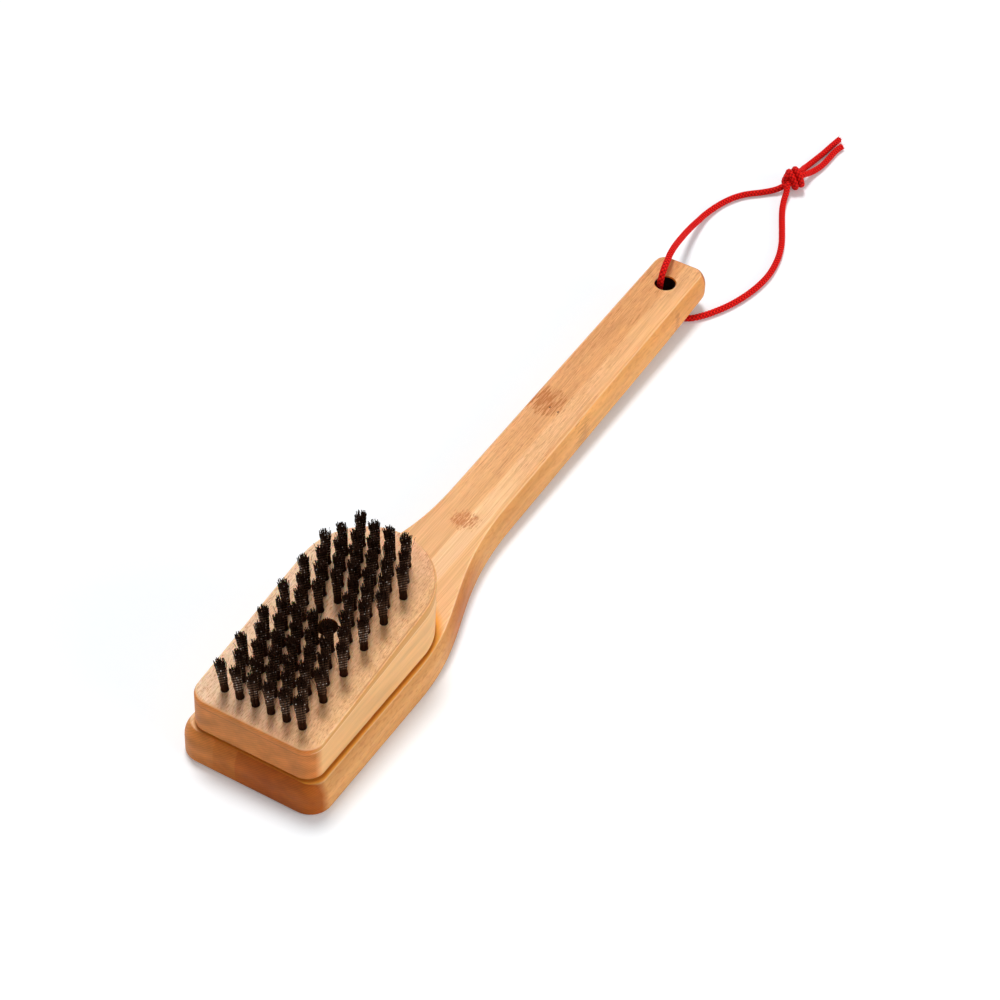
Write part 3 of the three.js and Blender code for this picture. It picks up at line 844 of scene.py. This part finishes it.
def screw():
    """Pan head with a cross recess, on a plain shank."""
    foot = SCREW_SEAT_Z - SCREW_SHANK_LENGTH
    crown = SCREW_SEAT_Z + SCREW_WALL_HEIGHT
    top = crown + SCREW_CROWN_HEIGHT
    profile = [
        (0, foot),
        (SCREW_SHANK_RADIUS, foot),
        (SCREW_SHANK_RADIUS, SCREW_SEAT_Z),
        (SCREW_HEAD_RADIUS, SCREW_SEAT_Z),
    ]
    for angle in arc(0, pi / 2, EDGE_STEPS):
        radius = SCREW_FLAT_RADIUS + (SCREW_HEAD_RADIUS - SCREW_FLAT_RADIUS) * cos(angle)
        profile.append((radius, crown + SCREW_CROWN_HEIGHT * sin(angle)))
    profile.append((0, top))
    obj = lathe("screw", profile, (SCREW_X, 0, 0), UP)
    slots = []
    arm = (RECESS_HALF_LENGTH, RECESS_HALF_WIDTH)
    for half_x, half_y in (arm, arm[::-1]):
        slot = bmesh.new()
        bmesh.ops.create_cube(slot, size=2)
        for vert in slot.verts:
            x, y, z = vert.co
            vert.co = place((SCREW_X + x * half_x, y * half_y, top + z * RECESS_DEPTH))
        slots.append(object_from("slot", slot))
    cut(obj, slots)
    smooth_by_angle(obj)
    return obj


def between(t, start, end, first, second):
    return (end - t) / (end - start) * first + (t - start) / (end - start) * second


def smooth_route(points, step):
    """Points at even steps along a centripetal Catmull-Rom curve through the given ones."""
    given = [np.array(point, float) for point in points]
    given = [2 * given[0] - given[1]] + given + [2 * given[-1] - given[-2]]
    dense = []
    for before, start, end, after in zip(given, given[1:], given[2:], given[3:]):
        knots = [0]
        for a, b in ((before, start), (start, end), (end, after)):
            knots.append(knots[-1] + max(1e-6, np.linalg.norm(b - a)) ** 0.5)
        t0, t1, t2, t3 = knots
        for t in np.linspace(t1, t2, ROUTE_SPAN_POINTS, endpoint=False):
            a1 = between(t, t0, t1, before, start)
            a2 = between(t, t1, t2, start, end)
            a3 = between(t, t2, t3, end, after)
            b1 = between(t, t0, t2, a1, a2)
            b2 = between(t, t1, t3, a2, a3)
            dense.append(between(t, t1, t2, b1, b2))
    dense.append(given[-2])
    dense = np.array(dense)
    run = np.concatenate([[0], np.cumsum(np.linalg.norm(np.diff(dense, axis=0), axis=1))])
    marks = np.linspace(0, run[-1], max(2, round(run[-1] / step) + 1))
    return np.column_stack([np.interp(marks, run, dense[:, axis]) for axis in range(3)])


def route_frames(points):
    """Two directions square to the route at each of its points, carried along without twist."""
    tangents = np.gradient(points, axis=0)
    tangents /= np.linalg.norm(tangents, axis=1)[:, None]
    side = np.cross(tangents[0], [0, 1, 0])
    sides = []
    for tangent in tangents:
        side = side - tangent * side.dot(tangent)
        side = side / np.linalg.norm(side)
        sides.append(side)
    sides = np.array(sides)
    return sides, np.cross(tangents, sides)


def braided_cord(name, route):
    """A cord with two families of strands round it, crossing over and under; and the points of its path."""
    points = smooth_route(route, CORD_STEP)
    sides, ups = route_frames(points)
    along = np.arange(len(points))[:, None] * CORD_STEP / BRAID_CELL
    around = np.arange(CORD_SIDES)[None, :] * BRAID_STRANDS / CORD_SIDES
    left, right = around + along, around - along
    over_left = (np.floor(left) + np.floor(right)) % 2
    pillow_left = np.sin(pi * (left % 1))
    pillow_right = np.sin(pi * (right % 1))
    high = np.where(over_left == 0, pillow_left, pillow_right)
    low = np.where(over_left == 0, pillow_right, pillow_left)
    height = BRAID_TOP_SHARE * high ** BRAID_TOP_ROUNDNESS + (1 - BRAID_TOP_SHARE) * low
    radius = CORD_RADIUS - BRAID_DEPTH * (1 - height)
    angle = (2 * pi * np.arange(CORD_SIDES) / CORD_SIDES)[None, :, None]
    turn = np.cos(angle) * sides[:, None, :] + np.sin(angle) * ups[:, None, :]
    shell = (points[:, None, :] + radius[:, :, None] * turn).reshape(-1, 3)
    faces = tube_faces(0, len(points), CORD_SIDES)
    faces.append(tuple(reversed(range(CORD_SIDES))))
    placed = [place(point) for point in shell]
    strand = object_with_values(name, placed, faces, "relief", height.reshape(-1))
    return strand, [tuple(place(point)) for point in points]


def knot_route(side):
    """One strand's way through the knot; side is 1 for the over strand and -1 for the under strand."""
    turn = Matrix.Rotation(KNOT_YAW, 3, "Z")
    centre = Vector(KNOT_CENTRE)
    return [
        tuple(centre + turn @ (Vector(middle) + Vector(to_over) * side * KNOT_SPACING))
        for middle, to_over in KNOT_ROUTE
    ]


def frayed_end(name, tip, before):
    """Short loose fibres at a cut end of the cord."""
    tip, before = np.array(tip), np.array(before)
    ahead = (tip - before) / np.linalg.norm(tip - before)
    sideways = np.array([-ahead[1], ahead[0], 0])
    up = np.array(UP)
    ring = [(cos(angle), sin(angle)) for angle in FRAY_FIBRE_ANGLES]
    points, faces = [], []
    for _ in range(FRAY_FIBRES):
        angle = noise.uniform(0, 2 * pi)
        reach = CORD_RADIUS * FRAY_REACH * sqrt(noise.random())
        spread = reach * noise.uniform(*FRAY_SPREAD_RANGE)
        length = noise.uniform(*FRAY_LENGTH_RANGE)
        faces.extend(tube_faces(len(points), len(FRAY_STEPS), len(ring)))
        for t in FRAY_STEPS:
            out = reach + (spread - reach) * t
            middle = tip + ahead * (length * t - FRAY_OVERLAP)
            middle = middle + sideways * out * cos(angle) + up * max(FRAY_LOWEST, out * sin(angle))
            for a, b in ring:
                points.append(place(middle + FRAY_FIBRE_RADIUS * (a * sideways + b * up)))
    return object_with_values(name, points, faces, "relief", [FRAY_RELIEF] * len(points), smooth=False)


def millimetres(tree):
    """Shader coordinates in millimetres from the paddle's front."""
    metres = add_node(tree, "TexCoord").outputs["Object"]
    inputs = {0: metres, 1: (1 / MM, 1 / MM, 1 / MM), 2: (-board_low.x / MM, 0, 0)}
    return add_node(tree, "VectorMath", inputs, operation="MULTIPLY_ADD").outputs[0]


def split(vector):
    """The three parts of a vector; a function that is given a socket works in that socket's tree."""
    return add_node(vector.id_data, "SeparateXYZ", {0: vector}).outputs


def facing(tree):
    """The parts of the surface's direction."""
    return split(add_node(tree, "NewGeometry").outputs["Normal"])


def streaks(mm, scale, seed, detail=2.0):
    """Noise drawn out by a scale along each axis, in cycles per millimetre."""
    stretched = add_node(mm.id_data, "VectorMath", {0: mm, 1: scale}, operation="MULTIPLY")
    pattern = add_node(mm.id_data, "TexNoise", {
        "Vector": stretched.outputs[0], "W": seed, "Scale": 1, "Detail": detail, "Roughness": 0.55,
    }, noise_dimensions="4D")
    return pattern.outputs["Fac"]


def ramp(factor, stops):
    """A colour ramp through (position, colour) stops; a single number stands for a grey."""
    made = add_node(factor.id_data, "ValToRGB", {0: factor})
    elements = made.color_ramp.elements
    while len(elements) < len(stops):
        elements.new(1)
    for element, (position, colour) in zip(elements, stops):
        element.position = position
        element.color = (*colour, 1) if isinstance(colour, tuple) else (colour, colour, colour, 1)
    return made.outputs["Color"]


def maths(operation, first, second=0, third=0, clamp=False):
    inputs = {0: first, 1: second, 2: third}
    return add_node(first.id_data, "Math", inputs, operation=operation, use_clamp=clamp).outputs[0]


def product(first, second):
    return maths("MULTIPLY", first, second)


def scaled(value, factor, shift):
    return maths("MULTIPLY_ADD", value, factor, shift)


def blend(factor, under, over, kind="MIX"):
    """Two colours mixed, on the mix node's colour sockets; over may be a plain (red, green, blue)."""
    if isinstance(over, tuple):
        over = (*over, 1)
    inputs = {0: factor, 6: under, 7: over}
    return add_node(under.id_data, "Mix", inputs, data_type="RGBA", blend_type=kind).outputs[2]


def tinted(colour, tint):
    return blend(1, colour, tint, "MULTIPLY")


def sum_of_squares(first, second):
    return maths("ADD", product(first, first), product(second, second))


def spot(x, y, middle_x, middle_y, half_x, half_y):
    """One in the middle of an ellipse on the board's plan, falling to nought at its rim."""
    away_x = scaled(x, 1 / half_x, -middle_x / half_x)
    away_y = scaled(y, 1 / half_y, -middle_y / half_y)
    return maths("MULTIPLY_ADD", sum_of_squares(away_x, away_y), -1, 1, clamp=True)


def strip_colour(y, strips):
    """Colour across the board, from the sides and colours of its strips."""
    width = 2 * PADDLE_HALF_WIDTH
    share = scaled(y, 1 / width, 0.5)
    return ramp(share, [((edge + PADDLE_HALF_WIDTH) / width, tone) for edge, tone in strips])


def bamboo(mm, y, strips, seed):
    """Face grain: its fine long lines, and its colour from strips, broad streaks and the lines."""
    sway = streaks(mm, SWAY_SCALE, seed + 9)
    swayed = maths("ADD", y, scaled(sway, SWAY_WIDTH, -SWAY_WIDTH / 2))
    colour = strip_colour(swayed, strips)
    broad = streaks(mm, BROAD_SCALE, seed)
    colour = tinted(colour, ramp(broad, BROAD_TINT))
    lines = streaks(mm, LINE_SCALE, seed + 1, 3.0)
    return lines, tinted(colour, ramp(lines, LINE_TINT))


def side_wood(mm, tone, seed):
    """The smoother wood of a long side, softly mottled."""
    soft = streaks(mm, SIDE_SCALE, seed, 3.0)
    return ramp(soft, [(at, tuple(shade * part for part in tone)) for at, shade in SIDE_MOTTLE])


def dashes(mm, along, across, seed, depth, share):
    """Short dark fibre ends, as a factor."""
    pattern = streaks(mm, (along, across, across), seed, 1)
    return ramp(pattern, [(share - FIBRE_FADE, depth), (share, 0)])


def end_grain(mm, y, z, normal_x, colour, strips, turns):
    """Darker end grain in hatched upright strips, where the surface faces the board's front or end."""
    (front_start, front_full), (rear_start, rear_full) = turns
    ahead = ramp(product(normal_x, -1), [(front_start, 0), (front_full, 1)])
    behind = ramp(normal_x, [(rear_start, 0), (rear_full, 1)])
    across = maths("MAXIMUM", ahead, behind)
    slant = maths("ADD", product(y, HATCH_SLANT), z)
    wave = maths("SINE", product(slant, 2 * pi / HATCH_PITCH))
    grain = strip_colour(y, strips)
    grain = tinted(grain, scaled(wave, HATCH_DEPTH, 1))
    grain = tinted(grain, ramp(streaks(mm, CLOUD_SCALE, 4, 5.0), CLOUD_TINT))
    return blend(across, colour, grain)


def finish_bamboo(shader, colour, lines):
    bump_inputs = {"Height": lines, "Strength": 0.12, "Distance": 0.0003}
    set_inputs(shader, {
        "Base Color": colour,
        "Normal": add_node(shader.id_data, "Bump", bump_inputs).outputs[0],
        "Roughness": 0.5,
        "Specular IOR Level": 0.18,
        "Subsurface Weight": 0.42,
        "Subsurface Radius": (1, 0.3, 0.12),
        "Subsurface Scale": 0.0025,
    })


def grip_marks(mm, x, y, colour):
    """The nodes of the bamboo: streaky or dotted brown patches, and a few dark dots."""
    streaky = streaks(mm, STREAK_SCALE, 21)
    dotted = streaks(mm, DOTTED_SCALE, 22, 1)
    for mark_x, mark_y, half_x, half_y, depth, is_dotted, tone in BOARD_MARKS:
        inside = spot(x, y, mark_x, mark_y, half_x, half_y)
        pattern, contrast = (dotted, DOTTED_CONTRAST) if is_dotted else (streaky, STREAKY_CONTRAST)
        broken = scaled(pattern, -contrast, contrast / 2 - MARK_THRESHOLD)
        amount = scaled(inside, MARK_FILL, broken)
        faded = ramp(inside, [(0, 0), (MARK_EDGE, depth)])
        amount = maths("MULTIPLY", amount, faded, clamp=True)
        colour = blend(maths("MINIMUM", amount, depth), colour, tone)
    for dot in BOARD_DOTS:
        inside = maths("MULTIPLY", spot(x, y, *dot), DOT_STRENGTH, clamp=True)
        colour = blend(inside, colour, DOT_COLOUR)
    return colour


def beyond(value, limit, direction=1):
    """How far a value is past a limit, or nought; direction is -1 for values below it."""
    past = scaled(value, direction, -direction * limit)
    return maths("MAXIMUM", past, 0)


def length_of(first, second):
    return maths("SQRT", sum_of_squares(first, second))


def distance_from_block(x, y):
    """Distance on the board from the block's outline: half-round behind, with rounded front corners."""
    rear = length_of(beyond(x, BLOCK_REAR_X - BLOCK_HALF_WIDTH), y)
    ahead = beyond(x, BLOCK_FRONT_X + BLOCK_CORNER_RADIUS, -1)
    aside = beyond(maths("ABSOLUTE", y), BLOCK_HALF_WIDTH - BLOCK_CORNER_RADIUS)
    front = maths("SUBTRACT", length_of(ahead, aside), BLOCK_CORNER_RADIUS)
    return maths("MAXIMUM", maths("SUBTRACT", rear, BLOCK_HALF_WIDTH), front)


def board_fibres(mm, y, along, colour):
    """Dark fibre ends on the board's top, in patches and mostly along the grip's left."""
    patches = streaks(mm, PATCH_SCALE, 17)
    patches = scaled(patches, FIBRE_PATCH_GAIN, FIBRE_PATCH_START)
    leftward = scaled(y, FIBRE_LEFT_GAIN, patches)
    share = product(ramp(leftward, FIBRE_PATCHES), ramp(along, FIBRES_ALONG))
    for fibres in (SHORT_FIBRES, LONG_FIBRES):
        colour = blend(product(dashes(mm, *fibres), share), colour, FIBRE_COLOUR)
    return colour


def around_block(x, y, normal_z, colour):
    """Painted warm shade on the board's strip round the block, fainter at the far left, and darker painted
    shade in the narrow gap beside it.
    """
    from_block = distance_from_block(x, y)
    on_top = ramp(normal_z, BOARD_TOP_UPWARD)
    ledge_shade = ramp(product(from_block, 1 / LEDGE_SHADE_REACH), LEDGE_SHADE_OUT)
    leftmost = scaled(y, 0.5 / PADDLE_HALF_WIDTH, 0.5)
    ledge_shade = product(product(ledge_shade, on_top), ramp(leftmost, LEDGE_SHADE_ACROSS))
    colour = blend(ledge_shade, colour, LEDGE_SHADE_COLOUR)
    seam_shade = product(ramp(from_block, SEAM_SHADE_OUT), on_top)
    return blend(seam_shade, colour, SEAM_SHADE_COLOUR)


def board_material():
    material, tree, shader = new_material("board_bamboo")
    mm = millimetres(tree)
    x, y, z = split(mm)
    normal_x, _, normal_z = facing(tree)
    along = product(x, 1 / LENGTH)
    lines, colour = bamboo(mm, y, BOARD_STRIPS, 11)
    colour = tinted(colour, ramp(along, BOARD_TINT))
    colour = board_fibres(mm, y, along, colour)
    side = ramp(normal_z, BOARD_SIDE_UPWARD)
    side_colour = tinted(side_wood(mm, BOARD_SIDE, 15), ramp(along, SIDE_TINT))
    colour = blend(side, colour, side_colour)
    flecks = product(dashes(mm, *SIDE_FLECKS), side)
    flecks = product(flecks, ramp(along, FLECKS_ALONG))
    colour = blend(flecks, colour, FIBRE_COLOUR)
    # Painted highlight along the rounding of the top's edge
    colour = blend(ramp(normal_z, BOARD_RIM_HIGHLIGHT_UPWARD), colour, RIM_HIGHLIGHT_COLOUR)
    colour = grip_marks(mm, x, y, colour)
    colour = around_block(x, y, normal_z, colour)
    colour = end_grain(mm, y, z, normal_x, colour, PADDLE_END_STRIPS, BOARD_END_TURNS)
    # Painted shade inside the hanging hole, below its mouth
    shade_top = BOARD_THICKNESS - RAKE * RAKE_START_X - HOLE_SHADE_DEPTH
    sunk = maths("LESS_THAN", z, scaled(x, RAKE, shade_top))
    reach = HANGING_HOLE_RADIUS + HOLE_SHADE_MARGIN
    in_hole = maths("GREATER_THAN", spot(x, y, HANGING_HOLE_X, 0, reach, reach), 0)
    colour = blend(product(sunk, in_hole), colour, HOLE_SHADE_COLOUR)
    finish_bamboo(shader, colour, lines)
    return material


def block_material():
    material, tree, shader = new_material("block_bamboo")
    mm = millimetres(tree)
    x, y, z = split(mm)
    normal_x, normal_y, normal_z = facing(tree)
    lines, colour = bamboo(mm, y, BLOCK_STRIPS, 31)
    colour = blend(dashes(mm, *BLOCK_FIBRES), colour, FIBRE_COLOUR)
    upright = ramp(normal_z, BLOCK_SIDE_UPWARD)
    colour = blend(upright, colour, side_wood(mm, BLOCK_SIDE, 35))
    colour = end_grain(mm, y, z, normal_x, colour, BLOCK_END_STRIPS, BLOCK_END_TURNS)

    # The facing's glue line across the front
    depth = maths("SUBTRACT", scaled(x, FACE_SLOPE, FACE_Z), z)
    front = ramp(product(normal_x, -1), BLOCK_FRONT_FORWARD)
    ply = maths("ABSOLUTE", maths("SUBTRACT", depth, FRONT_PLY_DEPTH))
    colour = blend(product(ramp(ply, PLY_AWAY), front), colour, PLY_COLOUR)

    # The facing's darker edge along the sides, wider to the rear, with a painted highlight line below it
    band_start = BLOCK_TOP_EDGE_RADIUS - BLOCK_FRONT_X * SIDE_BAND_GROWTH
    inside = maths("SUBTRACT", scaled(x, SIDE_BAND_GROWTH, band_start), depth)
    off_front = maths("SUBTRACT", upright, front, clamp=True)
    colour = blend(product(ramp(inside, BAND_IN), off_front), colour, BAND_COLOUR)
    lip_highlight = ramp(maths("ABSOLUTE", maths("ADD", inside, LIP_HIGHLIGHT_BELOW)), LIP_HIGHLIGHT_AWAY)
    colour = blend(product(lip_highlight, off_front), colour, RIM_HIGHLIGHT_COLOUR)

    # A painted highlight along the top's rim, with a dark line along its right
    colour = blend(ramp(normal_z, BLOCK_RIM_HIGHLIGHT_UPWARD), colour, RIM_HIGHLIGHT_COLOUR)
    right = ramp(product(normal_y, -1), BLOCK_EDGE_RIGHTWARD)
    right = product(right, ramp(product(x, 1 / LENGTH), EDGE_ALONG))
    edge = ramp(normal_z, BLOCK_EDGE_UPWARD)
    colour = blend(product(edge, right), colour, EDGE_COLOUR)

    # Painted shade at the foot, where the block meets the board, and in the counterbore
    foot = ramp(maths("SUBTRACT", z, BLOCK_BOTTOM_Z), FOOT_SHADE_UP)
    colour = blend(foot, colour, SEAM_SHADE_COLOUR)
    reach = COUNTERBORE_RADIUS + BORE_SHADE_MARGIN
    from_screw = spot(x, y, SCREW_X, 0, reach, reach)
    bore = product(ramp(from_screw, BORE_SHADE_IN), ramp(depth, BORE_SHADE_DOWN))
    colour = blend(bore, colour, BORE_SHADE_COLOUR)
    finish_bamboo(shader, colour, lines)
    return material


def wire_material():
    """Black wire with a brown collar at the foot, painted light and shade up each wire, and painted
    highlights in slanting stripes where crimps would catch the light.
    """
    material, tree, shader = new_material("black_wire")
    x, y, z = split(millimetres(tree))
    up = scaled(z, FACE_COS, -FACE_Z * FACE_COS)
    height = scaled(x, -FACE_SIN, up)
    slant = scaled(y, BAND_SLANT, scaled(x, BAND_SLANT, height))
    wave = maths("SINE", product(slant, 2 * pi / BAND_PITCH))
    highlight_bands = ramp(scaled(wave, 0.5, 0.5), BAND_LIGHT)
    tone = add_node(tree, "Attribute", attribute_name="tone")
    colour = ramp(product(tone.outputs["Fac"], highlight_bands), WIRE_PAINTED_LIGHT_COLOURS)
    collar_share = COLLAR_HEIGHT / TUFT_LENGTH
    collar_stops = [(collar_share, 1), (COLLAR_FADE * collar_share, 0)]
    collar = ramp(product(height, 1 / TUFT_LENGTH), collar_stops)
    colour = blend(collar, colour, COLLAR_COLOUR)
    set_inputs(shader, {"Base Color": colour, "Roughness": 0.45, "Specular IOR Level": 0.03})
    return material


def screw_material():
    material, tree, shader = new_material("screw_darkened_as_shade")
    # Dark colour for the screw: painted shade, as it sits deep in the counterbore
    colour = ramp(streaks(millimetres(tree), SCREW_SCALE, 5), SCREW_SHADE_TONES)
    set_inputs(shader, {"Base Color": colour, "Metallic": 0.4, "Roughness": 0.5})
    return material


def cord_material():
    material, tree, shader = new_material("red_cord")
    # Painted shade: darker toward the braid's crevices, by the relief
    relief = add_node(tree, "Attribute", attribute_name="relief")
    fuzz = streaks(millimetres(tree), FUZZ_SCALE, 8)
    colour = tinted(ramp(relief.outputs["Fac"], CORD_CREVICE_SHADE_TONES), ramp(fuzz, FUZZ_TINT))
    set_inputs(shader, {"Base Color": colour, "Roughness": 0.6, "Specular IOR Level": 0.06})
    return material


def seen_directly(tree):
    """One where a ray comes from the camera, a reflection or a clear pane, and nought for other light."""
    ray = add_node(tree, "LightPath")
    glossy = maths("MAXIMUM", ray.outputs["Is Camera Ray"], ray.outputs["Is Glossy Ray"])
    return maths("MAXIMUM", glossy, ray.outputs["Is Transmission Ray"])


def add_floor():
    half = FLOOR_HALF_SIZE
    data = bpy.data.meshes.new("floor")
    corners = [(-half, -half, 0), (half, -half, 0), (half, half, 0), (-half, half, 0)]
    data.from_pydata(corners, [], [(0, 1, 2, 3)])
    floor = add_object("floor", data)
    floor.location.z = FLOOR_Z
    material, tree, shader = new_material("white_floor")
    set_inputs(shader, {
        "Base Color": FLOOR_COLOUR,
        "Roughness": 0.9,
        "Specular IOR Level": 0,
        "Emission Color": (1, 1, 1, 1),
        "Emission Strength": product(seen_directly(tree), FLOOR_LIFT),
    })
    dress(floor, material)


def add_sun(name, towards, strength, width):
    """A sun that shines from a direction; width is its size in the sky, which softens shadows."""
    data = bpy.data.lights.new(name, "SUN")
    data.energy = strength
    data.angle = radians(width)
    sun = add_object(name, data)
    sun.rotation_euler = Vector(towards).to_track_quat("Z", "Y").to_euler()


def add_light():
    world = bpy.data.worlds.new("studio")
    bpy.context.scene.world = world
    world.use_nodes = True
    tree = world.node_tree
    strength = scaled(seen_directly(tree), 1 - SKY_LEVEL, SKY_LEVEL)
    set_inputs(tree.nodes["Background"], {"Color": (1, 1, 1, 1), "Strength": strength})
    for sun in SUNS:
        add_sun(*sun)


def main():
    add_camera()
    add_floor()
    add_light()
    bpy.context.scene.view_settings.view_transform = "Standard"

    made_board = board()
    dress(made_board, board_material())
    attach(made_board, BODY)
    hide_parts("handle")

    made_block = block()
    dress(made_block, block_material())
    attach(made_block, BODY)
    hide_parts("brush_block")

    wire = wire_material()
    for node, piece in tuft_pieces().items():
        dress(piece, wire)
        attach(piece, BODY)
        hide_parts(node)

    made_screw = screw()
    dress(made_screw, screw_material())
    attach(made_screw, BODY)
    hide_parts("head_screw")

    red = cord_material()
    strands = (
        ("over_strand", OVER_ROUTE, 1, LONG_TAIL_ROUTE, ("hanging_cord", "cord_knot", "cord_tail_long")),
        ("under_strand", UNDER_ROUTE, -1, SHORT_TAIL_ROUTE, ("cord_tail_short",)),
    )
    for name, loop, side, tail, nodes in strands:
        strand, path = braided_cord(name, loop + knot_route(side) + tail)
        fray = frayed_end(name + "_fray", tail[-1], tail[-2])
        for piece in (strand, fray):
            dress(piece, red)
            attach(piece, BODY)
        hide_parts(*nodes)


main()
